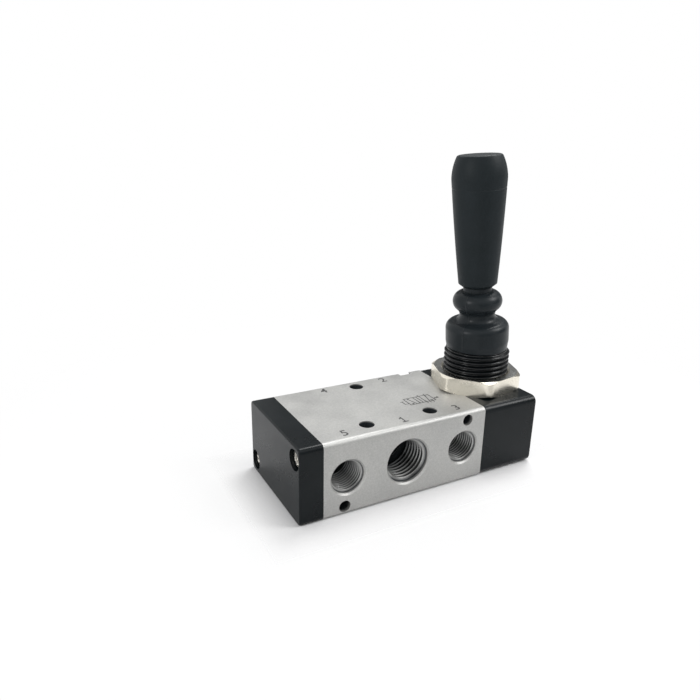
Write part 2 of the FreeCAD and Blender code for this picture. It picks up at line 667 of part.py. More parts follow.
def makeHandleGrip():
    body = newLeverBody("handle_grip")
    profile = newSketch(body, "XZ_Plane")
    inside = "insertRadius + threadClearance"
    roof = "gripBottom + insertLength + threadClearance"
    drawOutline(profile, [
        (inside, "gripBottom"), ("gripFootRadius", "gripBottom"),
        ("gripFlareRadius", "gripBottom + gripFlareHeight"), ("gripMaxRadius", "gripMaxHeight"),
        ("gripTopRadius", "gripTop"), ("0", "gripTop"), ("0", roof), (inside, roof),
    ], {
        1: ("gripFlareRounding", -1), 2: ("gripSideRounding", -1), 3: ("gripCrownRounding", -1),
    })
    turn(body, profile)
    return body


# The spool is turned about X. At rest the leaning lever holds it away from the middle.

sealRing = "(spoolBoreRadius - sealClearance - sealWire)"
sealPlaces = ["-endLand", "-outerLand", "-innerLand", "innerLand", "outerLand", "endLand"]


def makeSpool():
    body = newBody("spool", x="spoolShift", z="boreHeight")
    land = "spoolBoreRadius - spoolClearance"
    grooveFloor = "%s - sealWire - threadClearance" % sealRing
    half = "landWidth / 2"
    halfGroove = "(sealWire + sealGrooveSlack)"
    corners = [("-endLand - %s" % half, "0")]
    for place in sealPlaces:
        corners += [
            ("%s - %s" % (place, half), "spoolNeckRadius"), ("%s - %s" % (place, half), land),
            ("%s - %s" % (place, halfGroove), land), ("%s - %s" % (place, halfGroove), grooveFloor),
            ("%s + %s" % (place, halfGroove), grooveFloor), ("%s + %s" % (place, halfGroove), land),
            ("%s + %s" % (place, half), land), ("%s + %s" % (place, half), "spoolNeckRadius"),
        ]
    corners.pop(1)
    corners[-1] = ("endLand + %s" % half, "stemRadius")
    for place in ("leverPlace - spoolShift", "leverPlace + spoolShift"):
        corners += [
            ("%s - detentGrooveWidth / 2" % place, "stemRadius"),
            (place, "stemRadius - detentGrooveDepth"),
            ("%s + detentGrooveWidth / 2" % place, "stemRadius"),
        ]
    stemEnd = "leverPlace + footRadius + footClearance + stemEndWall"
    corners += [(stemEnd, "stemRadius"), (stemEnd, "0")]
    profile = newSketch(body, "XY_Plane")
    drawOutline(profile, corners)
    turn(body, profile, "H_Axis")
    socket = [("leverPlace", "0", "footRadius + footClearance")]
    cutCircles(body, "XY_Plane", "stemRadius", socket, "stemRadius + socketFloor")
    return body


def makeSpoolSeal(number, place):
    label = "spool_seal_%d" % number
    seal = doc.addObject("Part::Torus", label)
    seal.Label = label
    drive(seal, "Radius1", sealRing)
    drive(seal, "Radius2", "sealWire")
    seal.Placement = FreeCAD.Placement(FreeCAD.Vector(), FreeCAD.Rotation(FreeCAD.Vector(0, 1, 0), 90))
    drive(seal, "Placement.Base.x", place + " + spoolShift")
    drive(seal, "Placement.Base.z", "boreHeight")
    return seal


# The detent ball stands at the height that the stem presses it back to.

detentBallHeight = "(boreHeight - stemRadius - detentRoom - detentBallRadius)"


def makeDetentBall():
    ball = doc.addObject("Part::Sphere", "detent_ball")
    ball.Label = "detent_ball"
    drive(ball, "Radius", "detentBallRadius")
    drive(ball, "Placement.Base.x", "leverPlace")
    drive(ball, "Placement.Base.z", detentBallHeight)
    return ball


def makeDetentSpring():
    """A square wire coil from the hole's floor to the underside of the ball."""
    halfDiagonal = "(springWire / sqrt(2))"
    reach = "(detentBallRadius + springWire / sqrt(2) + threadClearance)"
    underBall = "sqrt(%s * %s - springRadius * springRadius)" % (reach, reach)
    length = "%s - %s - detentFloor - springWire / 2" % (detentBallHeight, underBall)
    coil = doc.addObject("Part::Helix", "spring_path")
    drive(coil, "Radius", "springRadius")
    drive(coil, "Height", length)
    drive(coil, "Pitch", "(%s) / springTurns" % length)
    section = doc.addObject("Part::RegularPolygon", "spring_section")
    section.Polygon = 4
    drive(section, "Circumradius", halfDiagonal)
    upright = FreeCAD.Rotation(FreeCAD.Vector(1, 0, 0), 90)
    squared = FreeCAD.Rotation(FreeCAD.Vector(0, 0, 1), 45)
    section.Placement = FreeCAD.Placement(FreeCAD.Vector(), upright * squared)
    for item, place in ((coil, "leverPlace"), (section, "leverPlace + springRadius")):
        drive(item, "Placement.Base.x", place)
        drive(item, "Placement.Base.z", "detentFloor + springWire / 2")
    spring = doc.addObject("Part::Sweep", "detent_spring")
    spring.Label = "detent_spring"
    spring.Sections = [section]
    doc.recompute()
    spring.Spine = (coil, ["Edge%d" % (i + 1) for i in range(len(coil.Shape.Edges))])
    spring.Solid = True
    spring.Frenet = True
    return spring


def makeAll():
    capSeat = "-halfLength - capLength + screwSeatDepth"
    housingSeat = "halfLength + housingLength - screwSeatDepth"
    pieces = [
        makeValveBody(),
        makeEndCap(),
        makeLeverHousing(),
        makeEndScrews("end_cap_screws", capSeat, "capLength - screwSeatDepth", "-"),
        makeEndScrews("housing_screws", housingSeat, "housingLength - screwSeatDepth", ""),
        makeFaceSeal("end_cap_seal", "-halfLength - sealWire"),
        makeFaceSeal("housing_seal", "halfLength + sealWire"),
        makeThreadedCollar(),
        makePivotSeat("lower_pivot_seat", -1),
        makePivotSeat("upper_pivot_seat", 1),
        makeRetainingRing(),
        makePanelNut(),
        makeDustBoot(),
        makeLeverRod(),
        makeHandleInsert(),
        makeHandleGrip(),
        makeSpool(),
        makeDetentBall(),
        makeDetentSpring(),
    ]
    for number, place in enumerate(sealPlaces, start=1):
        pieces.append(makeSpoolSeal(number, place))
    return pieces


def checkDocument(pieces):
    for item in doc.Objects:
        if "Invalid" in item.State or "Error" in item.State:
            raise RuntimeError("%s failed: %s" % (item.Name, item.State))
    for piece in pieces:
        if piece.Shape.isNull() or not piece.Shape.isValid():
            raise RuntimeError("%s has no valid shape" % piece.Label)


def writeParts(pieces):
    os.makedirs("parts", exist_ok=True)
    for piece in pieces:
        piece.Shape.exportStep(os.path.join("parts", piece.Label + ".step"))
        print(piece.Label, len(piece.Shape.Solids), round(piece.Shape.Volume, 2))


parts = makeAll()
doc.recompute()
checkDocument(parts)
writeParts(parts)
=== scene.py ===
import bmesh
import bpy
import numpy as np
from mathutils import Matrix, Vector


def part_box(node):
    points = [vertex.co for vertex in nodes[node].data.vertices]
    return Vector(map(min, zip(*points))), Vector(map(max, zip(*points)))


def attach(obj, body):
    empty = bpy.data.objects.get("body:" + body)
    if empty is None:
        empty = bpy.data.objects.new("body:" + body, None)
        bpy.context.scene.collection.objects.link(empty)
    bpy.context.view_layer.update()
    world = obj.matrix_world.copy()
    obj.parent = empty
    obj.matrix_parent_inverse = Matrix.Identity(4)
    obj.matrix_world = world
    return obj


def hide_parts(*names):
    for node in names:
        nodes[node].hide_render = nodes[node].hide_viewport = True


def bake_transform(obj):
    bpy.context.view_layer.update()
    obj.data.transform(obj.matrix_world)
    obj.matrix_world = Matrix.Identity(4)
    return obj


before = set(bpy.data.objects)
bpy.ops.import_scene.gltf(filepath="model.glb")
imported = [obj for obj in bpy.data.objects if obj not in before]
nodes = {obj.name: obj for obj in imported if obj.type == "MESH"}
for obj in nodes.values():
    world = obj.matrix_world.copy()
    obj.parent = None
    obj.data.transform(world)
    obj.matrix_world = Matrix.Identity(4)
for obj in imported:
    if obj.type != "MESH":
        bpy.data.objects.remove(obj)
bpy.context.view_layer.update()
mm = 0.001  # sizes of pieces are in millimetres, those of camera, finishes, floor, cards and lamps in metres
bodyLow, bodyHigh = (np.array(corner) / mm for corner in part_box("valve_body"))
print("frame loaded,", len(nodes), "nodes")


def inScene(name, data):
    # an object at the origin that holds the data
    thing = bpy.data.objects.new(name, data)
    bpy.context.scene.collection.objects.link(thing)
    return thing


# the camera stands where the photograph was taken, and its lens gives the photograph's frame
camera = {
    "place": (-0.086014, -0.140781, 0.094258), "azimuth": -28.53, "elevation": 18.9, "roll": 1.076,
    "lens": 31.513, "sensor": 36.0, "clip": (0.01, 10),
}


def placeCamera(sizes):
    # back points from the object to the camera: azimuth turns it from -Y towards +X, elevation lifts it, and
    # roll turns the picture about it
    azimuth, elevation, roll = np.radians([sizes["azimuth"], sizes["elevation"], sizes["roll"]])
    level = np.cos(elevation)
    back = Vector((np.sin(azimuth) * level, -np.cos(azimuth) * level, np.sin(elevation)))
    right = (-back).cross(Vector((0, 0, 1))).normalized()
    up = right.cross(-back)
    across = np.cos(roll) * right + np.sin(roll) * up
    upright = np.cos(roll) * up - np.sin(roll) * right
    data = bpy.data.cameras.new("photoCamera")
    data.lens, data.sensor_width = sizes["lens"], sizes["sensor"]
    data.clip_start, data.clip_end = sizes["clip"]
    place = Matrix([across, upright, back]).transposed().to_4x4()
    place.translation = sizes["place"]
    holder = inScene("photoCamera", data)
    holder.matrix_world = place
    bpy.context.scene.camera = holder


placeCamera(camera)

# finishes: each is one dictionary, and one function turns it into nodes on Object coordinates


def addNode(tree, kind, inputs=None, **settings):
    # inputs gives sockets, by name or number, a value or another node's output
    node = tree.nodes.new(kind)
    for key, value in settings.items():
        setattr(node, key, value)
    for key, value in (inputs or {}).items():
        if isinstance(value, bpy.types.NodeSocket):
            tree.links.new(value, node.inputs[key])
        else:
            node.inputs[key].default_value = value
    return node


def calculated(tree, operation, *values):
    # one Math node's result from numbers or other nodes' outputs
    return addNode(tree, "ShaderNodeMath", dict(enumerate(values)), operation=operation).outputs["Value"]


def noise(tree, place, scale, detail, roughness):
    # a noise's grey value at a place
    return addNode(tree, "ShaderNodeTexNoise", {
        "Vector": place, "Scale": scale, "Detail": detail, "Roughness": roughness}).outputs["Fac"]


def scaled(tree, source, low, high, fromLow=0.3, fromHigh=0.7):
    # a noise value stretched from its usual spread to low..high
    return addNode(tree, "ShaderNodeMapRange", {
        "Value": source, "From Min": fromLow, "From Max": fromHigh, "To Min": low, "To Max": high,
    }).outputs["Result"]


mixSockets = {"share": 0, "first": 6, "second": 7, "result": 2}  # numbers of a Mix node's colour sockets


def mixed(tree, share, first, second):
    # two colours mixed by a share, each a colour or another node's output
    first, second = (
        value if isinstance(value, bpy.types.NodeSocket) else (*value, 1) for value in (first, second))
    node = addNode(tree, "ShaderNodeMix", {
        mixSockets["share"]: share, mixSockets["first"]: first, mixSockets["second"]: second,
    }, data_type="RGBA")
    return node.outputs[mixSockets["result"]]


def blockBetween(low, high, weights):
    # middle, half size and weight of a block along each axis that has a weight
    return [((start + end) / 2, (end - start) / 2, weight) for start, end, weight in zip(low, high, weights)]


def depthInside(tree, place, block):
    # how far a point lies inside a block from its nearest face: the smallest, over the block's axes, of half
    # size less |distance from the middle| times the axis's weight, which is negative outside
    apart = addNode(tree, "ShaderNodeSeparateXYZ", {"Vector": place})
    nearest = None
    for axis, (middle, half, weight) in zip("XYZ", block):
        away = calculated(tree, "ABSOLUTE", calculated(tree, "SUBTRACT", apart.outputs[axis], middle))
        depth = calculated(tree, "MULTIPLY", calculated(tree, "SUBTRACT", half, away), weight)
        nearest = depth if nearest is None else calculated(tree, "MINIMUM", nearest, depth)
    return nearest


usualLooks = {  # what the finishes share, unless one has its own value
    "metallic": 0.0, "specular": 0.5, "patchScale": 500, "patchDetail": 5, "waveHeight": 0.00002,
    "grainScale": 5000, "grainDetail": 3, "grainHeight": 0.00001, "noiseRoughness": 0.6,
    "mottleDetail": 2, "mottleRoughness": 0.7, "speckShare": 0.3, "speckFrom": 0.6, "speckTo": 0.72,
    "endFrom": 0.93, "endTo": 0.99, "wearAndHighlightShare": 0.4, "edgeFrom": 0.82, "edgeTo": 0.985, "edgeLeast": 0.35,
    "edgeSamples": 4,
}


def makeFinish(name, ownLooks):
    # colour: two tones mixed by a broad noise and mottled by a finer one, with painted shade at a thread's
    # roots and in a bore, painted shade on the ends that face up and down, specks from a fine noise, and where
    # the surface turns sharply a tone that is partly wear and partly a painted edge highlight; roughness: the
    # broad noise again;
    # bump: fine grain over a slow waviness
    looks = {**usualLooks, **ownLooks}
    material = bpy.data.materials.new(name)
    material.use_nodes = True
    tree = material.node_tree
    shader = tree.nodes["Principled BSDF"]
    shader.inputs["Metallic"].default_value = looks["metallic"]
    shader.inputs["Specular IOR Level"].default_value = looks["specular"]
    place = addNode(tree, "ShaderNodeTexCoord").outputs["Object"]
    patch = noise(tree, place, looks["patchScale"], looks["patchDetail"], looks["noiseRoughness"])
    grain = noise(tree, place, looks["grainScale"], looks["grainDetail"], looks["noiseRoughness"])
    colour = mixed(tree, scaled(tree, patch, 0, 1), looks["tone"], looks["otherTone"])
    if "mottle" in looks:
        blotches = noise(tree, place, looks["mottleScale"], looks["mottleDetail"], looks["mottleRoughness"])
        shade = scaled(tree, blotches, 1 - looks["mottle"], 1 + looks["mottle"])
        mottled = addNode(tree, "ShaderNodeVectorMath", {0: colour, "Scale": shade}, operation="SCALE")
        colour = mottled.outputs["Vector"]
    # painted shade: the thread's roots between the crests are darkened by the crest attribute
    if "rootShadeTone" in looks:
        crest = addNode(tree, "ShaderNodeAttribute", attribute_type="GEOMETRY", attribute_name="crest")
        colour = mixed(tree, crest.outputs["Fac"], looks["rootShadeTone"], colour)
    # painted shade: faces that point up or down are pulled towards a greyer tone
    if "endShadeTone" in looks:
        normal = addNode(tree, "ShaderNodeNewGeometry").outputs["True Normal"]
        rise = addNode(tree, "ShaderNodeSeparateXYZ", {"Vector": normal}).outputs["Z"]
        endShade = scaled(tree, calculated(tree, "ABSOLUTE", rise), 0, 1, looks["endFrom"], looks["endTo"])
        colour = mixed(tree, endShade, colour, looks["endShadeTone"])
    # painted shade: the colour darkens with depth inside the valve block, as shade in its holes and ports
    if "boreShadeTone" in looks:
        depth = depthInside(tree, place, looks["block"])
        boreShade = scaled(tree, depth, 0, looks["boreShadeShare"], *looks["boreShadeDepth"])
        colour = mixed(tree, boreShade, colour, looks["boreShadeTone"])
    specks = scaled(tree, grain, 0, looks["speckShare"], looks["speckFrom"], looks["speckTo"])
    colour = mixed(tree, specks, colour, looks["speckTone"])
    # a tone where the surface turns sharply: partly wear, and partly a painted highlight along rounded edges
    if "wearAndHighlightTone" in looks:
        bevel = addNode(tree, "ShaderNodeBevel", {"Radius": looks["edgeReach"]}, samples=looks["edgeSamples"])
        surface = addNode(tree, "ShaderNodeNewGeometry")
        normals = {0: bevel.outputs["Normal"], 1: surface.outputs["Normal"]}
        likeness = addNode(tree, "ShaderNodeVectorMath", normals, operation="DOT_PRODUCT").outputs["Value"]
        edge = scaled(tree, likeness, looks["wearAndHighlightShare"], 0, looks["edgeFrom"], looks["edgeTo"])
        wornAndLit = calculated(tree, "MULTIPLY", edge, scaled(tree, patch, looks["edgeLeast"], 1))
        colour = mixed(tree, wornAndLit, colour, looks["wearAndHighlightTone"])
    waves = addNode(tree, "ShaderNodeBump", {
        "Strength": 1.0, "Distance": looks["waveHeight"], "Height": patch})
    bump = addNode(tree, "ShaderNodeBump", {
        "Strength": 1.0, "Distance": looks["grainHeight"], "Height": grain,
        "Normal": waves.outputs["Normal"]})
    tree.links.new(colour, shader.inputs["Base Color"])
    tree.links.new(scaled(tree, patch, *looks["roughness"]), shader.inputs["Roughness"])
    tree.links.new(bump.outputs["Normal"], shader.inputs["Normal"])
    return material


# painted shade: a hole from the top darkens sooner with its depth than a port does
valveBlock = blockBetween(*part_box("valve_body"), (1, 1, 3))
# the body's edges: partly wear, partly a painted edge highlight
blastedAluminium = makeFinish("blastedAluminium", {
    "tone": (0.41, 0.41, 0.4), "otherTone": (0.46, 0.46, 0.445), "speckTone": (0.3, 0.3, 0.295),
    "speckShare": 0.4, "metallic": 0.62, "roughness": (0.42, 0.52), "patchScale": 90, "grainScale": 5200,
    "grainHeight": 0.00004, "mottle": 0.1, "mottleScale": 2300,
    "wearAndHighlightTone": (0.7, 0.69, 0.67), "edgeReach": 0.0004, "wearAndHighlightShare": 0.5,
    "block": valveBlock, "boreShadeDepth": (0.0006, 0.0014), "boreShadeShare": 0.97, "boreShadeTone": (0.04, 0.048, 0.055),
})
# the ports' metal: painted shade at the thread's roots and deep inside each port
threadedAluminium = makeFinish("threadedAluminium", {
    "tone": (0.44, 0.44, 0.43), "otherTone": (0.52, 0.52, 0.505), "speckTone": (0.16, 0.16, 0.16),
    "speckShare": 0.15, "metallic": 0.9, "roughness": (0.26, 0.36), "patchScale": 400, "grainScale": 5200,
    "grainHeight": 0.000004, "mottle": 0.05, "mottleScale": 1500,
    "rootShadeTone": (0.05, 0.055, 0.06),
    "block": valveBlock, "boreShadeDepth": (0.0015, 0.011), "boreShadeShare": 0.92, "boreShadeTone": (0.03, 0.035, 0.039),
})
# the black parts' edges: partly wear, partly a painted highlight along the rounded edges
satinBlack = makeFinish("satinBlack", {
    "tone": (0.0025, 0.0045, 0.0055), "otherTone": (0.004, 0.0065, 0.008), "speckTone": (0.012, 0.015, 0.017),
    "speckShare": 0.2, "specular": 0.18, "roughness": (0.26, 0.32), "patchScale": 120,
    "grainScale": 6500, "waveHeight": 0.00001, "grainHeight": 0.000003,
    "wearAndHighlightTone": (0.04, 0.042, 0.044), "edgeReach": 0.0005, "wearAndHighlightShare": 0.5,
})
# the nut: painted shade on its ends that face up and down
brightNickel = makeFinish("brightNickel", {
    "tone": (0.87, 0.825, 0.725), "otherTone": (0.81, 0.765, 0.665), "speckTone": (0.42, 0.39, 0.33),
    "endShadeTone": (0.55, 0.555, 0.535), "speckFrom": 0.62, "metallic": 1.0, "roughness": (0.2, 0.3),
    "patchScale": 240, "grainScale": 1500, "waveHeight": 0.000012, "grainHeight": 0.000002,
    "wearAndHighlightTone": (0.7, 0.67, 0.6), "edgeReach": 0.0004,
})
threadBlack = makeFinish("threadBlack", {
    "tone": (0.002, 0.003, 0.0035), "otherTone": (0.0035, 0.005, 0.006), "speckTone": (0.03, 0.033, 0.035),
    "speckShare": 0.5, "speckFrom": 0.64, "specular": 0.34, "roughness": (0.16, 0.26),
    "grainScale": 1800, "waveHeight": 0.00003, "grainHeight": 0.000006,
    "wearAndHighlightTone": (0.04, 0.042, 0.045), "edgeReach": 0.0002,
})
bootRubber = makeFinish("bootRubber", {
    "tone": (0.0125, 0.0165, 0.019), "otherTone": (0.0155, 0.0195, 0.0225), "speckTone": (0.03, 0.035, 0.038),
    "speckShare": 0.2, "specular": 0.16, "roughness": (0.28, 0.36), "patchScale": 210,
    "grainScale": 4200, "waveHeight": 0.00003,
})
gripPlastic = makeFinish("gripPlastic", {
    "tone": (0.014, 0.0185, 0.0205), "otherTone": (0.0175, 0.0225, 0.0255), "speckTone": (0.04, 0.046, 0.05),
    "speckShare": 0.35, "specular": 0.1, "roughness": (0.42, 0.52), "patchScale": 150,
    "grainScale": 3600, "waveHeight": 0.00003, "grainHeight": 0.00003,
})
brightSteel = makeFinish("brightSteel", {
    "tone": (0.6, 0.58, 0.53), "otherTone": (0.5, 0.485, 0.45), "speckTone": (0.25, 0.24, 0.22),
    "speckShare": 0.4, "metallic": 1.0, "roughness": (0.22, 0.36), "grainHeight": 0.000006,
    "wearAndHighlightTone": (0.75, 0.73, 0.7), "edgeReach": 0.0002,
})
groundSteel = makeFinish("groundSteel", {
    "tone": (0.55, 0.56, 0.57), "otherTone": (0.48, 0.49, 0.5), "speckTone": (0.3, 0.3, 0.31),
    "metallic": 1.0, "roughness": (0.16, 0.28), "patchScale": 300, "grainScale": 7000,
    "waveHeight": 0.00001, "grainHeight": 0.000004,
})
turnedAluminium = makeFinish("turnedAluminium", {
    "tone": (0.66, 0.67, 0.68), "otherTone": (0.58, 0.59, 0.6), "speckTone": (0.4, 0.4, 0.41),
    "metallic": 1.0, "roughness": (0.22, 0.34), "patchScale": 260,
    "waveHeight": 0.00001, "grainHeight": 0.000006,
})
insertBrass = makeFinish("insertBrass", {
    "tone": (0.62, 0.42, 0.16), "otherTone": (0.52, 0.35, 0.14), "speckTone": (0.3, 0.2, 0.08),
    "speckShare": 0.4, "metallic": 1.0, "roughness": (0.24, 0.38), "patchScale": 400,
    "grainHeight": 0.000006,
})
sealRubber = makeFinish("sealRubber", {
    "tone": (0.014, 0.014, 0.014), "otherTone": (0.02, 0.02, 0.02), "speckTone": (0.05, 0.05, 0.05),
    "roughness": (0.42, 0.55), "grainScale": 6000,
})
seatPlastic = makeFinish("seatPlastic", {
    "tone": (0.62, 0.6, 0.54), "otherTone": (0.55, 0.53, 0.47), "speckTone": (0.4, 0.38, 0.34),
    "roughness": (0.4, 0.5),
})
markInk = makeFinish("markInk", {
    "tone": (0.03, 0.03, 0.03), "otherTone": (0.06, 0.06, 0.06), "speckTone": (0.3, 0.3, 0.295),
    "speckShare": 0.6, "speckFrom": 0.55, "roughness": (0.55, 0.7), "patchScale": 1800,
    "grainScale": 5200, "waveHeight": 0.000005, "grainHeight": 0.00002,
})

nodeFinishes = {
    "valve_body": blastedAluminium, "end_cap": satinBlack, "lever_housing": satinBlack,
    "end_cap_seal": sealRubber, "housing_seal": sealRubber, "lower_pivot_seat": seatPlastic,
    "upper_pivot_seat": seatPlastic, "pivot_retaining_ring": groundSteel, "detent_ball": groundSteel,
    "lever_rod": groundSteel, "handle_insert": insertBrass, "spool": turnedAluminium,
}
nodeFinishes.update({"spool_seal_%d" % number: sealRubber for number in range(1, 7)})


def dress(piece, material):
    piece.data.materials.clear()
    piece.data.materials.append(material)


for nodeName, finish in nodeFinishes.items():
    dress(nodes[nodeName], finish)
print("finishes made,", len(bpy.data.materials), "materials")

# surfaces: a grid of points, closed round its columns, put into a mesh


def gridQuads(rows, columns, wrapRows):
    # four neighbours make a face, columns always wrap, rows wrap where the profile is a closed loop
    row = np.arange(rows if wrapRows else rows - 1)[:, None]
    column = np.arange(columns)[None, :]
    nextRow, nextColumn = (row + 1) % rows, (column + 1) % columns
    corners = [row * columns + column, row * columns + nextColumn,
               nextRow * columns + nextColumn, nextRow * columns + column]
    return np.stack(corners, -1).reshape(-1, 4)


def gridSurface(points, wrapRows):
    # where the rows don't wrap, a fan to the end row's middle closes each end
    rows, columns = points.shape[:2]
    flat = points.reshape(-1, 3)
    quads = gridQuads(rows, columns, wrapRows)
    triangles = np.zeros((0, 3), int)
    if not wrapRows:
        around = np.arange(columns)
        onward = (around + 1) % columns
        last = (rows - 1) * columns
        first = np.stack([onward, around, np.full(columns, len(flat))], -1)
        final = np.stack([last + around, last + onward, np.full(columns, len(flat) + 1)], -1)
        triangles = np.concatenate([first, final])
        flat = np.concatenate([flat, points[0].mean(0)[None], points[-1].mean(0)[None]])
    return flat, quads, triangles


def volumeOf(points, triangles):
    # a sixth of the sum of each triangle's corners' triple product
    first, second, third = (points[triangles[:, corner]] for corner in range(3))
    return float(np.einsum("ij,ij->i", first, np.cross(second, third)).sum() / 6)


def makePiece(name, surfaces, material, sharpAngle=40, crest=None):
    # several closed surfaces in one mesh, each with its faces turned outwards; crest gives each point's
    # height on a thread from 0 at the root to 1 at the crest
    allPoints, allQuads, allTriangles, start = [], [], [], 0
    for points, quads, triangles in surfaces:
        halves = np.concatenate([quads[:, [0, 1, 2]], quads[:, [0, 2, 3]], triangles])
        if volumeOf(points - points.mean(0), halves) < 0:
            quads, triangles = quads[:, ::-1], triangles[:, ::-1]
        allPoints.append(points)
        allQuads.append(quads + start)
        allTriangles.append(triangles + start)
        start += len(points)
    points = np.concatenate(allPoints)
    quads, triangles = np.concatenate(allQuads), np.concatenate(allTriangles)
    corners = np.concatenate([quads.ravel(), triangles.ravel()]).astype(np.int32)
    counts = np.concatenate([np.full(len(quads), 4), np.full(len(triangles), 3)])
    mesh = bpy.data.meshes.new(name)
    mesh.vertices.add(len(points))
    mesh.vertices.foreach_set("co", (points * mm).astype(np.float32).ravel())
    mesh.loops.add(len(corners))
    mesh.loops.foreach_set("vertex_index", corners)
    mesh.polygons.add(len(counts))
    mesh.polygons.foreach_set("loop_start", (np.cumsum(counts) - counts).astype(np.int32))
    mesh.polygons.foreach_set("use_smooth", np.ones(len(counts), bool))
    mesh.update(calc_edges=True)
    mesh.validate()
    if crest is not None:
        mesh.attributes.new("crest", "FLOAT", "POINT").data.foreach_set("value", crest.astype(np.float32))
    mesh.set_sharp_from_angle(angle=np.radians(sharpAngle))
    piece = inScene(name, mesh)
    dress(piece, material)
    return piece


def arc(start, end, radius, side, steps):
    # points on the arc between two profile points, side 1 or -1 saying where its centre lies
    start, end = np.array(start, float), np.array(end, float)
    chord = end - start
    half = np.linalg.norm(chord) / 2
    across = np.array([-chord[1], chord[0]]) / (2 * half)
    centre = (start + end) / 2 + side * across * np.sqrt(radius ** 2 - half ** 2)
    first = np.arctan2(*(start - centre)[::-1])
    last = np.arctan2(*(end - centre)[::-1])
    turn = (last - first + np.pi) % (2 * np.pi) - np.pi
    angle = first + turn * np.linspace(0, 1, steps)
    return centre + radius * np.stack([np.cos(angle), np.sin(angle)], -1)


def rounded(corners, closed=False, steps=6):
    # a line through corners (r, z, rounding), each corner cut by an arc of its own radius
    corners = np.array(corners, float)
    places, radii = corners[:, :2], corners[:, 2]
    count, line = len(places), []
    for index, (here, radius) in enumerate(zip(places, radii)):
        if radius == 0 or (not closed and index in (0, count - 1)):
            line.append(here[None])
            continue
        into = places[index - 1] - here
        out = places[(index + 1) % count] - here
        into, out = into / np.linalg.norm(into), out / np.linalg.norm(out)
        halfAngle = np.arccos(np.clip(into @ out, -1, 1)) / 2
        reach = radius / np.tan(halfAngle)
        turn = np.sign(into[0] * out[1] - into[1] * out[0])
        line.append(arc(here + into * reach, here + out * reach, radius, -turn, steps))
    return np.concatenate(line)


def divided(line, step, closed=False):
    # a profile with its long runs divided, so that no two points are further apart than step
    line = np.concatenate([line, line[:1]]) if closed else line
    lengths = np.linalg.norm(np.diff(line, axis=0), axis=1)
    counts = np.maximum(1, np.ceil(lengths / step)).astype(int)
    share = np.concatenate([np.arange(count) / count for count in counts])
    index = np.repeat(np.arange(len(counts)), counts)
    points = line[index] + share[:, None] * (line[index + 1] - line[index])
    return points if closed else np.concatenate([points, line[-1:]])


def angles(count, fineAt=(), fineWidth=0.0, fineCount=0):
    # even angles round the axis, and a close set round each place that needs a fine line
    turns = [np.arange(count) * 2 * np.pi / count]
    for place in fineAt:
        turns.append(np.radians(place) + np.linspace(-fineWidth, fineWidth, fineCount))
    return np.unique(np.round(np.concatenate(turns) % (2 * np.pi), 6))


def turned(profile, angle):
    # radius and height carried round the axis: (r cos a, r sin a, z)
    radius, height = profile[..., 0], profile[..., 1]
    if radius.ndim == 1:
        radius, height = radius[:, None], height[:, None]
    radius, height = np.broadcast_arrays(radius + 0 * angle, height + 0 * angle)
    return np.stack([radius * np.cos(angle), radius * np.sin(angle), height], -1)


def threadWave(phase, flat=0.1):
    # 0 at a root and 1 at a crest: a triangle wave with both its ends held flat, bent to a cosine
    triangle = 1 - 2 * np.abs((phase + 0.5) % 1 - 0.5)
    return 0.5 - 0.5 * np.cos(np.pi * np.clip((triangle - flat) / (1 - 2 * flat), 0, 1))


def smooth(value, low, high):
    # 0 up to low, 1 from high on, and between them 3 s squared less 2 s cubed of the share s
    share = np.clip((value - low) / (high - low), 0, 1)
    return share * share * (3 - 2 * share)


# threads of the five ports: a ridge wound along each plain wall, its ends fading out

portThreads = {
    "quarter": {"root": 6.58, "depth": 0.856, "pitch": 1.337, "length": 10.4, "first": 1.1},
    "eighth": {"root": 4.86, "depth": 0.581, "pitch": 0.907, "length": 10.35, "first": 0.9},
    "startAt": 180.0, "stepsPerTurn": 96, "sectionSteps": 13,
    "crestReach": 0.48, "wallReach": 0.4, "fadeAngle": 2.0, "leastRise": 0.02,
    "proud": 0.01, "wallDepth": 0.2, "height": 11.0,
    "places": {
        "supplyPortThread": (0.0, "front", "quarter"),
        "leftExhaustThread": (-18.7, "front", "eighth"),
        "rightExhaustThread": (18.7, "front", "eighth"),
        "leftWorkingThread": (-10.5, "back", "quarter"),
        "rightWorkingThread": (10.5, "back", "quarter"),
    },
}


def portThread(sizes, x, face, size):
    # section: a crest across one pitch, closed behind in the wall; path: a helix round the port's axis
    root, depth, pitch, length, first = sizes[size].values()
    turns = (length - first) / pitch
    angle = np.linspace(0, turns * 2 * np.pi, int(turns * sizes["stepsPerTurn"]))[:, None]
    fadeAngle, wallReach = sizes["fadeAngle"], sizes["wallReach"]
    fade = smooth(angle, 0, fadeAngle) * (1 - smooth(angle, angle[-1] - fadeAngle, angle[-1]))
    across = np.linspace(-sizes["crestReach"], sizes["crestReach"], sizes["sectionSteps"])
    rise = threadWave(across)[None, :] * np.maximum(fade, sizes["leastRise"])
    radius = root - sizes["proud"] - (depth - sizes["proud"]) * rise
    behind = np.full((len(angle), 2), root + sizes["wallDepth"])
    radius = np.concatenate([radius, behind], 1)
    along = np.concatenate([across, [wallReach, -wallReach]])[None, :] * pitch
    inwards = first + angle / (2 * np.pi) * pitch + along
    wall, side = (bodyLow[1], 1) if face == "front" else (bodyHigh[1], -1)
    y = wall + side * inwards
    around = np.radians(sizes["startAt"]) - side * angle  # clockwise going in, as seen from outside
    points = np.stack([x + radius * np.cos(around), y, sizes["height"] + radius * np.sin(around)], -1)
    crest = np.concatenate([rise, np.zeros((len(angle), 2))], 1).ravel()
    return gridSurface(points, False), np.concatenate([crest, [0, 0]])


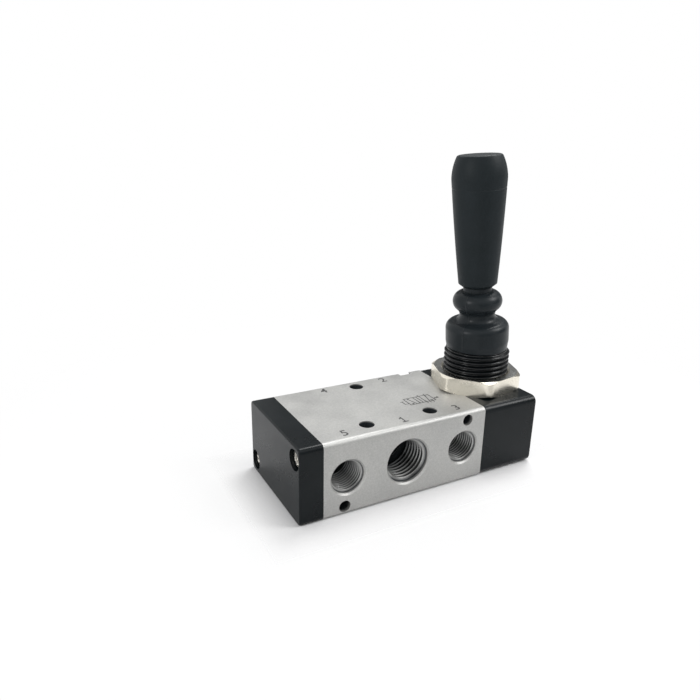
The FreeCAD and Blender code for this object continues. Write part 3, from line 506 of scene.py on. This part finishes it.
for pieceName, (x, face, size) in portThreads["places"].items():
    surface, crest = portThread(portThreads, x, face, size)
    ridge = makePiece(pieceName, [surface], threadedAluminium, crest=crest)
    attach(ridge, "valve_frame")
print("port threads made")

# collar and nut on the upright axis through the lever's pivot

lever = {"pivot": (35.6, 0.0, 33.0), "lean": -5.0}
leverAxis = np.array([*lever["pivot"][:2], 0.0])
collar = {
    "throat": 4.7, "stub": 7.98, "stubEnd": 16.0, "seatShoulder": 29.0, "socket": 5.2, "groove": 5.7,
    "grooveLow": 37.0, "grooveHigh": 37.8, "top": 38.2, "spigot": 7.7, "edge": 0.25,
    "threadRadius": 10.0, "threadLow": 22.0, "threadHigh": 34.2, "pitch": 1.5, "depth": 0.92,
    "leadSlope": 1.2, "rowsPerPitch": 16, "columns": 160, "phase": 0.3, "step": 1.0,
}


def threadRadius(sizes, height, angle):
    # crest radius less the thread's depth at its roots, cut down by a cone at each end
    wave = threadWave((height - sizes["threadLow"]) / sizes["pitch"] - angle / (2 * np.pi) + sizes["phase"])
    radius = sizes["threadRadius"] - sizes["depth"] * (1 - wave)
    lead = np.minimum(sizes["threadHigh"] - height, height - sizes["threadLow"])
    root = sizes["threadRadius"] - sizes["depth"]
    return np.minimum(radius, root + sizes["leadSlope"] * np.maximum(lead, 0))


def collarSurface(sizes):
    # one closed outline round the wall: the thread outside, then spigot, ring groove, socket, throat and stub
    angle = angles(sizes["columns"])
    inside = divided(rounded([
        (sizes["spigot"], sizes["threadHigh"], 0), (sizes["spigot"], sizes["top"], sizes["edge"]),
        (sizes["socket"], sizes["top"], sizes["edge"]), (sizes["socket"], sizes["grooveHigh"], 0),
        (sizes["groove"], sizes["grooveHigh"], 0), (sizes["groove"], sizes["grooveLow"], 0),
        (sizes["socket"], sizes["grooveLow"], 0), (sizes["socket"], sizes["seatShoulder"], 0),
        (sizes["throat"], sizes["seatShoulder"], 0), (sizes["throat"], sizes["stubEnd"], sizes["edge"]),
        (sizes["stub"], sizes["stubEnd"], sizes["edge"]), (sizes["stub"], sizes["threadLow"], 0),
    ]), sizes["step"])
    rows = int((sizes["threadHigh"] - sizes["threadLow"]) / sizes["pitch"] * sizes["rowsPerPitch"])
    height = np.linspace(sizes["threadLow"], sizes["threadHigh"], rows)[:, None] + 0 * angle
    outside = np.stack([threadRadius(sizes, height, angle), height], -1)
    line = np.broadcast_to(inside[:, None, :], (len(inside), len(angle), 2))
    return gridSurface(turned(np.concatenate([outside, line]), angle) + leverAxis, True)


collarPiece = makePiece("collarThread", [collarSurface(collar)], threadBlack)
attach(collarPiece, "valve_frame")
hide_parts("threaded_collar")

nut = {
    "acrossFlats": 25.0, "cornerRounding": 3.2, "low": 22.0, "high": 27.1, "turn": 9.5, "endRadius": 12.9,
    "chamfer": 30.0, "edge": 0.35, "edgeSegments": 3, "edgeAngle": 22.0, "boreEdge": 0.7, "threadRoom": 0.03,
    "lipDepth": 0.3, "lipShare": 0.8, "columnsPerSide": 40, "gather": 1.6,
    "endRows": 7, "sideRows": 9, "boreRows": 70,
}


def hexagonRadius(sizes, angle):
    # flat sides at half the width, and at each corner an arc whose centre lies on the corner's line
    half, rounding = sizes["acrossFlats"] / 2, sizes["cornerRounding"]
    fromCorner = (angle + np.pi / 6) % (np.pi / 3) - np.pi / 6
    centre = (half - rounding) / np.cos(np.pi / 6)
    arcReach = np.arctan2(rounding / 2, centre + rounding * np.cos(np.pi / 6))
    side = half / np.cos(np.pi / 6 - np.abs(fromCorner))
    bow = centre * np.cos(fromCorner) + np.sqrt(
        np.maximum(rounding ** 2 - (centre * np.sin(fromCorner)) ** 2, 0))
    return np.where(np.abs(fromCorner) < arcReach, bow, side)


def nutSurface(sizes, screwed):
    # each column is one outline round the nut's wall: end faces, 30 degree cones, sides, threaded bore
    even = np.linspace(-0.5, 0.5, sizes["columnsPerSide"], endpoint=False)
    spread = np.sign(even) * (2 * np.abs(even)) ** sizes["gather"] / 2  # columns gather at the corners
    angle = (np.arange(6)[:, None] * np.pi / 3 + spread * np.pi / 3).ravel()
    outer = hexagonRadius(sizes, angle)
    end = np.minimum(outer, sizes["endRadius"])
    drop = (outer - end) * np.tan(np.radians(sizes["chamfer"]))
    place = angle + np.radians(sizes["turn"])
    bore = screwed["threadRadius"]
    low, high, boreEdge = sizes["low"], sizes["high"], sizes["boreEdge"]
    share = np.linspace(0, 1, sizes["endRows"])[:, None]
    cone = end + (outer - end) * share
    inSide = np.linspace(-1, 1, sizes["sideRows"])[1:-1, None]
    sideHeight = (low + high) / 2 + inSide * ((high - low) / 2 - drop)
    flat = bore + boreEdge + (end - bore - boreEdge) * share
    boreHeights = np.linspace(high - boreEdge, low + boreEdge, sizes["boreRows"])[:, None] + 0 * angle
    thread = threadRadius(screwed, boreHeights, place) + sizes["threadRoom"]
    lips = np.maximum(thread[[0, -1]], bore - sizes["lipDepth"])
    lipDrop = boreEdge * sizes["lipShare"]
    rows = [
        (flat, low + 0 * flat),
        (cone[1:], low + (drop * share)[1:]),
        (outer + 0 * inSide, sideHeight),
        (cone[::-1], high - (drop * share)[::-1]),
        (flat[::-1][1:], high + 0 * flat[1:]),
        (lips[:1], high - lipDrop + 0 * lips[:1]),
        (thread, boreHeights),
        (lips[1:], low + lipDrop + 0 * lips[1:]),
    ]
    outline = np.stack([np.concatenate(part) for part in zip(*rows)], -1)
    return gridSurface(turned(outline, place) + leverAxis, True)


nutPiece = makePiece("panelNut", [nutSurface(nut, collar)], brightNickel, sharpAngle=50)
rounding = nutPiece.modifiers.new("edges", "BEVEL")
rounding.width, rounding.segments = nut["edge"] * mm, nut["edgeSegments"]
rounding.limit_method, rounding.angle_limit = "ANGLE", np.radians(nut["edgeAngle"])
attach(nutPiece, "valve_frame")
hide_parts("panel_nut")
print("collar and nut made")

# boot and grip, turned about the axis that leans with the lever


def onLever(points):
    # heights above the pivot, leaned about the pivot's Y axis
    lean = np.radians(lever["lean"])
    turn = np.array([[np.cos(lean), 0, np.sin(lean)], [0, 1, 0], [-np.sin(lean), 0, np.cos(lean)]])
    return points @ turn.T + np.array(lever["pivot"])


boot = {  # radius and height above the pivot
    "rim": (9.25, 1.3), "side": (9.6, 3.6), "shoulder": (9.6, 7.6), "shoulderRounding": 2.3,
    "shoulderEnd": (7.4, 9.9), "waistRounding": 2.05, "bulgeStart": (6.17, 13.58), "bulgeRounding": 3.1,
    "neck": (4.3, 19.16), "lipTop": 20.55, "lipEdge": 0.1, "bore": 2.6, "wall": 1.1, "waistWall": 1.65,
    "innerBulgeRounding": 2.22, "seamAt": (205.0, 25.0), "seamWidth": 0.14, "seamHeight": 0.12,
    "seamSpread": 0.045, "seamColumns": 13, "seamTop": 20.35, "columns": 176, "step": 0.35,
    "arcSteps": {"shoulder": 20, "waist": 14, "bulge": 40, "innerBulge": 24, "innerShoulder": 10},
    "bendFrom": (35.6, 0.0, 36.0), "bendTo": (34.5, 0.0, 49.0),  # in the part's own frame
}


def bootSurface(sizes):
    # outside: rim, shoulder, waist, bulge and lip as arcs that run on into each other; inside: the same
    # less the wall; the mould's parting line is a ridge of seamHeight times exp(-(distance / width) squared)
    steps, wall, neck, shoulder = sizes["arcSteps"], sizes["wall"], sizes["neck"], sizes["shoulder"]
    shoulderEnd, bulgeStart = sizes["shoulderEnd"], sizes["bulgeStart"]
    outside = np.concatenate([
        [sizes["rim"], sizes["side"]],
        arc(shoulder, shoulderEnd, sizes["shoulderRounding"], 1, steps["shoulder"]),
        arc(shoulderEnd, bulgeStart, sizes["waistRounding"], -1, steps["waist"])[1:],
        arc(bulgeStart, neck, sizes["bulgeRounding"], 1, steps["bulge"])[1:],
        rounded([(*neck, 0), (neck[0], sizes["lipTop"], sizes["lipEdge"]),
                 (sizes["bore"], sizes["lipTop"], sizes["lipEdge"]), (sizes["bore"], neck[1] - wall, 0)])[1:],
    ])
    waist = bulgeStart[0] - sizes["waistWall"]
    inside = np.concatenate([
        arc((neck[0] - wall / 2, neck[1] - wall), (waist, bulgeStart[1] + wall / 2),
            sizes["innerBulgeRounding"], -1, steps["innerBulge"]),
        [(waist, bulgeStart[1] - sizes["waistWall"])],
        arc((shoulderEnd[0] - wall / 2, shoulderEnd[1] - wall), (shoulder[0] - wall, shoulder[1]),
            sizes["shoulderRounding"] - wall, -1, steps["innerShoulder"]),
        [(sizes["rim"][0] - wall, sizes["rim"][1])],
    ])
    profile = divided(np.concatenate([outside, inside]), sizes["step"], closed=True)
    angle = angles(sizes["columns"], sizes["seamAt"], sizes["seamSpread"], sizes["seamColumns"])
    points = np.broadcast_to(profile[:, None, :], (len(profile), len(angle), 2)).copy()
    outer = np.zeros(len(profile), bool)
    outer[:np.argmax(profile[:, 1] >= sizes["seamTop"])] = True
    for place in sizes["seamAt"]:
        turn = (angle - np.radians(place) + np.pi) % (2 * np.pi) - np.pi
        ridge = np.exp(-(turn[None, :] * profile[:, :1] / sizes["seamWidth"]) ** 2)
        points[..., 0] += sizes["seamHeight"] * ridge * outer[:, None]
    return gridSurface(onLever(turned(points, angle)), True)


def liftTo(piece, height):
    # every point under the height is lifted to it, so that the piece ends flat
    places = np.zeros(len(piece.data.vertices) * 3, np.float32)
    piece.data.vertices.foreach_get("co", places)
    places[2::3] = np.maximum(places[2::3], height)
    piece.data.vertices.foreach_set("co", places)


bootPiece = makePiece("dustBoot", [bootSurface(boot)], bootRubber, sharpAngle=60)
liftTo(bootPiece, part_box("dust_boot")[0].z)
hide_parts("dust_boot")
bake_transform(bootPiece)

grip = {  # radius and height above the pivot
    "bottom": 20.6, "foot": 4.5, "footEdge": 0.2, "flare": (5.75, 21.6), "flareRounding": 0.25,
    "widest": (7.86, 52.0), "sideRounding": 800.0, "crownRounding": 15.0, "topRadius": 6.25, "top": 58.4,
    "topEdge": 0.8, "topMiddle": 0.6, "bore": 3.62, "roof": 33.12,
    "seam": 49.3, "seamDepth": 0.09, "seamWidth": 0.14, "seamReach": 0.4, "seamRoom": 0.45, "seamRows": 17,
    "sideSteps": 60, "crownSteps": 22, "footSteps": 9, "coverSteps": 3, "columns": 180, "step": 0.5,
}


def gripSurface(sizes):
    # side and crown are arcs, foot and top are cut square with rounded corners, and the mould's seam sinks
    # the radius by seamDepth times exp(-(height from it / width) squared)
    side = arc(sizes["flare"], sizes["widest"], sizes["sideRounding"], 1, sizes["sideSteps"])
    top = (sizes["topRadius"], sizes["top"])
    crown = arc(sizes["widest"], top, sizes["crownRounding"], 1, sizes["crownSteps"])
    footSteps, coverSteps, bore = sizes["footSteps"], sizes["coverSteps"], sizes["bore"]
    foot = rounded([(bore, sizes["bottom"], 0), (sizes["foot"], sizes["bottom"], sizes["footEdge"]),
                    (*sizes["flare"], sizes["flareRounding"]), (*side[footSteps - 1], 0)])
    cover = rounded([(*crown[-coverSteps], 0), (*top, sizes["topEdge"]),
                     (sizes["topMiddle"], sizes["top"], 0)])
    hole = [(sizes["topMiddle"], sizes["roof"]), (bore, sizes["roof"])]
    fine = sizes["seam"] + np.linspace(-sizes["seamReach"], sizes["seamReach"], sizes["seamRows"])
    sideRadius = np.interp(fine, side[:, 1], side[:, 0])
    middle = side[footSteps:]
    middle = middle[np.abs(middle[:, 1] - sizes["seam"]) > sizes["seamRoom"]]
    middle = np.concatenate([middle, np.stack([sideRadius, fine], -1)])
    middle = middle[np.argsort(middle[:, 1])]
    shell = divided(np.concatenate([foot, middle, crown[1:-coverSteps], cover]), sizes["step"])
    shell[:, 0] -= sizes["seamDepth"] * np.exp(-((shell[:, 1] - sizes["seam"]) / sizes["seamWidth"]) ** 2)
    profile = np.concatenate([hole, shell])
    return gridSurface(onLever(turned(profile, angles(sizes["columns"]))), False)


gripPiece = makePiece("handleGrip", [gripSurface(grip)], gripPlastic)
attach(gripPiece, "hand_lever")
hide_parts("handle_grip")
print("boot and grip made")

# pan head screws with a cross recess, turned about X

screws = {
    "shank": 1.48, "pitch": 0.5, "threadDepth": 0.27, "rowsPerPitch": 8, "threadLength": 6.0, "runOut": 0.5,
    "tipLength": 0.4, "tipDrop": 0.6, "tipReach": 1.0, "neck": 0.4, "head": 2.75, "rim": 1.1,
    "headHeight": 1.9, "headEdge": 0.12, "rounding": 0.8, "roundingSteps": 10, "columns": 72, "step": 0.4,
    "armWidth": 0.42, "armReach": 1.4, "recess": 1.15, "recessEdge": 0.14, "recessTaper": 0.45,
    "topRows": 34, "topMiddle": 0.04, "places": ((-14.3, 18.0), (14.3, 4.0)),
    "pairs": {
        "capScrews": {
            "node": "end_cap_screws", "seat": -30.0, "length": 8.1, "facing": -1, "turns": (20, 55)},
        "housingScrews": {
            "node": "housing_screws", "seat": 43.2, "length": 21.3, "facing": 1, "turns": (35, 70)},
    },
}


def crossRecess(sizes, across, along):
    # 1 inside either of two crossing arms and 0 outside both, with soft edges
    edge, width, reach = sizes["recessEdge"], sizes["armWidth"], sizes["armReach"]
    places = np.abs([across, along])
    inReach = 1 - smooth(places, reach - edge, reach + edge)
    inWidth = 1 - smooth(places, width - edge, width + edge)
    return np.maximum(inReach[0] * inWidth[1], inReach[1] * inWidth[0])


def screwSurface(sizes, length, turn, facing):
    # radius over the place along the axis from tip to head: shank less a thread, then the head's outline;
    # over the head's top the height is a shallow dome less the cross recess, which narrows outwards
    angle = angles(sizes["columns"])
    threadEnd = sizes["threadLength"] - length
    rows = int(sizes["threadLength"] / sizes["pitch"] * sizes["rowsPerPitch"])
    along = np.linspace(-length, threadEnd, rows)[:, None] + 0 * angle
    depth = sizes["threadDepth"] * (1 - threadWave(along / sizes["pitch"] - facing * angle / (2 * np.pi)))
    lead = np.minimum(along + length, threadEnd - along)
    tip = np.maximum(sizes["tipLength"] - lead, 0) * (along < sizes["tipReach"] - length)
    fade = smooth(threadEnd - along, 0, sizes["runOut"])
    radius = sizes["shank"] - depth * fade - sizes["tipDrop"] * tip
    rim, cap = (sizes["head"], sizes["rim"]), sizes["head"] - sizes["rounding"]
    capLow = sizes["headHeight"] - sizes["headEdge"]
    head = divided(np.concatenate([
        rounded([(sizes["shank"], -sizes["neck"], 0), (sizes["shank"], 0, 0),
                 (sizes["head"], 0, sizes["headEdge"]), (*rim, 0)]),
        arc(rim, (cap, capLow), sizes["rounding"], 1, sizes["roundingSteps"])[1:],
    ]), sizes["step"])
    inner = np.linspace(cap, sizes["topMiddle"], sizes["topRows"])[1:, None]
    dome = capLow + sizes["headEdge"] * (1 - (inner / inner[0]) ** 2)
    cross = crossRecess(sizes, inner * np.cos(angle + turn), inner * np.sin(angle + turn))
    taper = 1 - sizes["recessTaper"] * np.clip(inner / sizes["armReach"], 0, 1)
    top = np.stack([inner + 0 * angle, dome - sizes["recess"] * taper * cross], -1)
    body = np.broadcast_to(head[:, None, :], (len(head), len(angle), 2))
    profile = np.concatenate([np.stack([radius, along], -1), body, top])
    return gridSurface(turned(profile, angle), False)


def screwPair(sizes, name, pair):
    # the axis laid along X from the seat, outwards from the valve
    surfaces = []
    for (y, z), turn in zip(sizes["places"], pair["turns"]):
        points, quads, triangles = screwSurface(sizes, pair["length"], np.radians(turn), pair["facing"])
        x = pair["seat"] + pair["facing"] * points[:, 2]
        surfaces.append((np.stack([x, y + points[:, 0], z + points[:, 1]], -1), quads, triangles))
    piece = makePiece(name, surfaces, brightSteel)
    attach(piece, "valve_frame")
    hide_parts(pair["node"])


for pairName, pair in screws["pairs"].items():
    screwPair(screws, pairName, pair)
print("screws made")

spring = {"coil": 1.2, "wire": 0.15, "turns": 4.0, "rings": 160, "section": 12}


def springSurface(sizes, low, high):
    # a round wire carried along a helix about the lever's upright axis
    angle = np.linspace(0, sizes["turns"] * 2 * np.pi, sizes["rings"])[:, None]
    around = angles(sizes["section"])[None, :]
    radius = sizes["coil"] + sizes["wire"] * np.cos(around)
    height = low + (high - low) * angle / angle[-1] + sizes["wire"] * np.sin(around)
    return gridSurface(turned(np.stack([radius + 0 * angle, height], -1), angle) + leverAxis, False)


springLow, springHigh = (corner.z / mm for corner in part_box("detent_spring"))
coilSurface = springSurface(spring, springLow + spring["wire"], springHigh - spring["wire"])
coil = makePiece("detentSpring", [coilSurface], groundSteel)
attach(coil, "valve_frame")
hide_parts("detent_spring")
print("spring made")

# marks on the top face: plain port numbers and the switching symbol, a hair above the metal

marks = {
    "top": bodyHigh[2], "proud": 0.012, "sunk": 0.05, "mergeWithin": 0.001, "letterSize": 4.32,
    "weight": 0.05,
    "numbers": {"4": (-10.6, 14.1), "2": (10.2, 14.0), "5": (-18.1, -13.7), "3": (18.4, -13.4)},
    "oneAt": (0.2, -13.55), "oneLine": 0.4,  # the one has a stem, a flag and a foot
    "oneStrokes": (((0, -1.25), (0, 1.45)), ((-0.7, 0.8), (0, 1.45)), ((-0.75, -1.25), (0.75, -1.25))),
}


def slab(ring, sizes):
    # a flat outline made a closed plate that reaches from just under the top face to a hair above it
    levels = (sizes["top"] - sizes["sunk"], sizes["top"] + sizes["proud"])
    sheets = [np.column_stack([ring, np.full(len(ring), level)]) for level in levels]
    return gridSurface(np.stack(sheets), False)


def strip(start, end, width, sizes):
    # a flat bar from one place to another, half its width longer at each end
    along = (end - start) / np.linalg.norm(end - start) * width / 2
    across = np.array([-along[1], along[0]])
    return slab(np.array([
        start - along - across, end + along - across, end + along + across, start - along + across]), sizes)


def portNumbers(sizes):
    # the font's own figures and a one drawn from three bars, in one mesh
    joined, work = bpy.data.meshes.new("portNumbers"), bmesh.new()
    for character, (x, y) in sizes["numbers"].items():
        curve = bpy.data.curves.new("number" + character, "FONT")
        curve.body, curve.size = character, sizes["letterSize"] * mm
        curve.align_x, curve.align_y = "CENTER", "CENTER"
        curve.extrude = (sizes["proud"] + sizes["sunk"]) / 2 * mm
        curve.offset = sizes["weight"] * mm
        holder = inScene("number" + character, curve)
        bpy.context.view_layer.update()
        mesh = bpy.data.meshes.new_from_object(holder.evaluated_get(bpy.context.evaluated_depsgraph_get()))
        bpy.data.objects.remove(holder)
        middle = sizes["top"] + (sizes["proud"] - sizes["sunk"]) / 2
        mesh.transform(Matrix.Translation((x * mm, y * mm, middle * mm)))
        work.from_mesh(mesh)
    for start, end in np.array(sizes["oneStrokes"]) + sizes["oneAt"]:
        points, quads, triangles = strip(start, end, sizes["oneLine"], sizes)
        stroke = bpy.data.meshes.new("strokeOfOne")
        stroke.from_pydata((points * mm).tolist(), [], quads.tolist() + triangles.tolist())
        work.from_mesh(stroke)
    bmesh.ops.remove_doubles(work, verts=work.verts, dist=sizes["mergeWithin"] * mm)
    bmesh.ops.recalc_face_normals(work, faces=work.faces)
    work.to_mesh(joined)
    work.free()
    piece = inScene("portNumbers", joined)
    dress(piece, markInk)
    return piece


symbol = {
    # boxes, flows, stops and ports in shares of a box's side, all else in millimetres before the scale
    "at": (12.0, -4.1), "scale": 1.32, "box": 3.3, "line": 0.22, "arrow": 0.6, "arrowHalf": 0.27,
    "boxes": (((0, 0), (2, 0)), ((0, 1), (2, 1)), ((0, 0), (0, 1)), ((1, 0), (1, 1)), ((2, 0), (2, 1))),
    "flowsUp": (((0.5, 0), (0.25, 1)), ((1.5, 0), (1.75, 1))),
    "flowsDown": (((0.75, 1), (0.75, 0)), ((1.25, 1), (1.25, 0))),
    "stops": (0.25, 1.75), "stopHeight": 0.5, "stopHalf": 0.25,
    "portsBelow": (1.25, 1.5, 1.75), "portsAbove": (1.25, 1.75), "portLine": 0.6,
    "leverStrokes": (((-1.0, 0.8), (0, 0.8)), ((-1.0, 0.8), (-1.0, 2.2)), ((-1.3, 2.2), (-0.7, 2.2))),
    "detentStrokes": (((0, 0.9), (1.3, 0.9)), ((0.35, 0.9), (0.5, 1.2)), ((0.8, 0.9), (0.95, 1.2)),
                      ((1.3, 0.9), (1.3, 1.5))),
}


def arrowHead(tip, way, symbol, sizes):
    # a flat triangle whose point touches the box's edge
    way = way / np.linalg.norm(way)
    across = np.array([-way[1], way[0]]) * symbol["arrowHalf"]
    foot = tip - way * symbol["arrow"]
    return slab(np.array([tip, foot + across, foot - across]), sizes)


def switchingSymbol(symbol, sizes):
    # two square boxes side by side with flow arrows and closed ports, a lever left and detents right
    side, middle = symbol["box"], np.array(symbol["at"])
    corner = middle - (side, side / 2)
    flows = np.array(symbol["flowsUp"] + symbol["flowsDown"]) * side + corner
    lines = [*(np.array(symbol["boxes"]) * side + corner), *flows]
    lines += [*(np.array(symbol["leverStrokes"]) + corner)]
    lines += [*(np.array(symbol["detentStrokes"]) + corner + (2 * side, 0))]
    for share in symbol["stops"]:
        foot = corner + (share * side, 0)
        head = foot + (0, symbol["stopHeight"])
        lines += [(foot, head), (head - (symbol["stopHalf"], 0), head + (symbol["stopHalf"], 0))]
    for shares, level, away in ((symbol["portsBelow"], 0, -1), (symbol["portsAbove"], side, 1)):
        for share in shares:
            mouth = corner + (share * side, level)
            lines.append((mouth, mouth + (0, away * symbol["portLine"])))
    surfaces = [strip(start, end, symbol["line"], sizes) for start, end in lines]
    surfaces += [arrowHead(end, end - start, symbol, sizes) for start, end in flows]
    for points, quads, triangles in surfaces:
        points[:, :2] = middle + (points[:, :2] - middle) * symbol["scale"]
    return makePiece("switchingSymbol", surfaces, markInk)


numbersPiece = portNumbers(marks)
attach(numbersPiece, "valve_frame")
symbolPiece = switchingSymbol(symbol, marks)
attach(symbolPiece, "valve_frame")
print("marks made")

# floor, world, cards and lamps

stage = {
    "floorSize": 1.2, "floorLevel": -0.00005, "floorTone": (0.77, 0.77, 0.775), "clear": 0.82,
    "clearOff": 0.012, "footprint": blockBetween(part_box("end_cap")[0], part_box("lever_housing")[1], (1, 1)),
    "fadeFrom": 0.05, "fadeTo": 0.16, "ambient": 0.6,
}


def mattSheet(name, corners, tone):
    # one matt face, with a clear shader beside the matt one for the sheet's maker to mix
    mesh = bpy.data.meshes.new(name)
    mesh.from_pydata(corners, [], [(0, 1, 2, 3)])
    material = bpy.data.materials.new(name)
    material.use_nodes = True
    tree = material.node_tree
    tree.nodes.clear()
    matt = addNode(tree, "ShaderNodeBsdfDiffuse", {"Color": (*tone, 1)}).outputs["BSDF"]
    clear = addNode(tree, "ShaderNodeBsdfTransparent").outputs["BSDF"]
    mesh.materials.append(material)
    inScene(name, mesh)
    return tree, matt, clear


def showMix(tree, share, first, second):
    # the sheet shows the first shader, and the second by its share
    mix = addNode(tree, "ShaderNodeMixShader", {"Fac": share, 1: first, 2: second})
    addNode(tree, "ShaderNodeOutputMaterial", {"Surface": mix.outputs["Shader"]})


def makeFloor(sizes):
    # a matt white sheet: the camera sees the white world through part of it a little way off the object, so
    # that its shadow stays soft, and far out it is all clear
    half, level = sizes["floorSize"] / 2, sizes["floorLevel"]
    corners = [(-half, -half, level), (half, -half, level), (half, half, level), (-half, half, level)]
    tree, paper, clear = mattSheet("floor", corners, sizes["floorTone"])
    place = addNode(tree, "ShaderNodeTexCoord").outputs["Object"]
    distance = addNode(tree, "ShaderNodeVectorMath", {0: place}, operation="LENGTH").outputs["Value"]
    fade = scaled(tree, distance, 0, 1, sizes["fadeFrom"], sizes["fadeTo"])
    off = scaled(tree, depthInside(tree, place, sizes["footprint"]), sizes["clear"], 0, -sizes["clearOff"], 0)
    cameraRay = addNode(tree, "ShaderNodeLightPath").outputs["Is Camera Ray"]
    share = calculated(tree, "MAXIMUM", fade, calculated(tree, "MULTIPLY", cameraRay, off))
    showMix(tree, share, paper, clear)


def makeWorld(sizes):
    # white where the camera, a gloss or a clear ray looks, softer as light
    world = bpy.data.worlds.new("studio")
    world.use_nodes = True
    tree = world.node_tree
    back = tree.nodes["Background"]
    back.inputs["Color"].default_value = (1, 1, 1, 1)
    rays = addNode(tree, "ShaderNodeLightPath")
    seen = rays.outputs["Is Camera Ray"]
    for key in ("Is Glossy Ray", "Is Transmission Ray"):
        seen = calculated(tree, "MAXIMUM", seen, rays.outputs[key])
    strength = addNode(tree, "ShaderNodeMapRange", {"Value": seen, "To Min": sizes["ambient"], "To Max": 1.0})
    tree.links.new(strength.outputs["Result"], back.inputs["Strength"])
    bpy.context.scene.world = world


cards = {  # each faces the object's middle, but for the one that lies on the floor
    "farCard": {"direction": (0.68, 0.62, 0.38), "distance": 0.42, "size": (0.5, 0.24), "tone": 0.2},
    "nearCard": {"direction": (-0.05, -0.97, 0.16), "distance": 0.45, "size": (0.4, 0.24), "tone": 0.08},
    "sideCard": {"direction": (0.85, -0.42, 0.24), "distance": 0.5, "size": (0.36, 0.2), "tone": 0.08},
    "topCard": {"direction": (0.2, 0.02, 0.97), "distance": 0.7, "size": (0.5, 0.5), "tone": 0.5},
    "floorCard": {"direction": (0.32, -0.95, 0.01), "distance": 0.098, "size": (0.12, 0.056), "tone": 0.4},
}


def makeCard(name, sizes, lies):
    # a grey card that shapes the reflections in the metal and the gloss, clear to all but glossy rays
    upwards = Vector((0, 0, 1))
    width, height = sizes["size"]
    middle = Vector(sizes["direction"]).normalized() * sizes["distance"]
    side = middle.cross(upwards).normalized() * width / 2
    rise = side.cross(upwards if lies else middle).normalized() * height / 2
    corners = [middle - side - rise, middle + side - rise, middle + side + rise, middle - side + rise]
    tree, grey, clear = mattSheet(name, corners, [sizes["tone"]] * 3)
    showMix(tree, addNode(tree, "ShaderNodeLightPath").outputs["Is Glossy Ray"], clear, grey)


lamps = {  # share: how much of the lamp lights matt surfaces, beside its highlights
    "overhead": {"place": (0.22, 0.14, 0.46), "size": 0.26, "watts": 1.55, "share": 1.0},
    "rightFront": {"place": (0.29, -0.19, 0.33), "size": 0.18, "watts": 0.9, "share": 0.3},
    "left": {"place": (-0.37, -0.06, 0.22), "size": 0.14, "watts": 0.5, "share": 0.8},
}
lampTarget = (0.01, 0, 0.02)


def makeLamp(name, sizes):
    # a round lamp that faces the target
    data = bpy.data.lights.new(name, "AREA")
    data.shape, data.size, data.energy = "DISK", sizes["size"], sizes["watts"]
    data.diffuse_factor = sizes["share"]
    lamp = inScene(name, data)
    lamp.location = sizes["place"]
    lamp.rotation_euler = (Vector(lampTarget) - Vector(sizes["place"])).to_track_quat("-Z", "Y").to_euler()


makeFloor(stage)
makeWorld(stage)
for cardName, card in cards.items():
    makeCard(cardName, card, cardName == "floorCard")
for lampName, lampSizes in lamps.items():
    makeLamp(lampName, lampSizes)
bpy.context.scene.view_settings.view_transform = "Standard"

print("scene made")
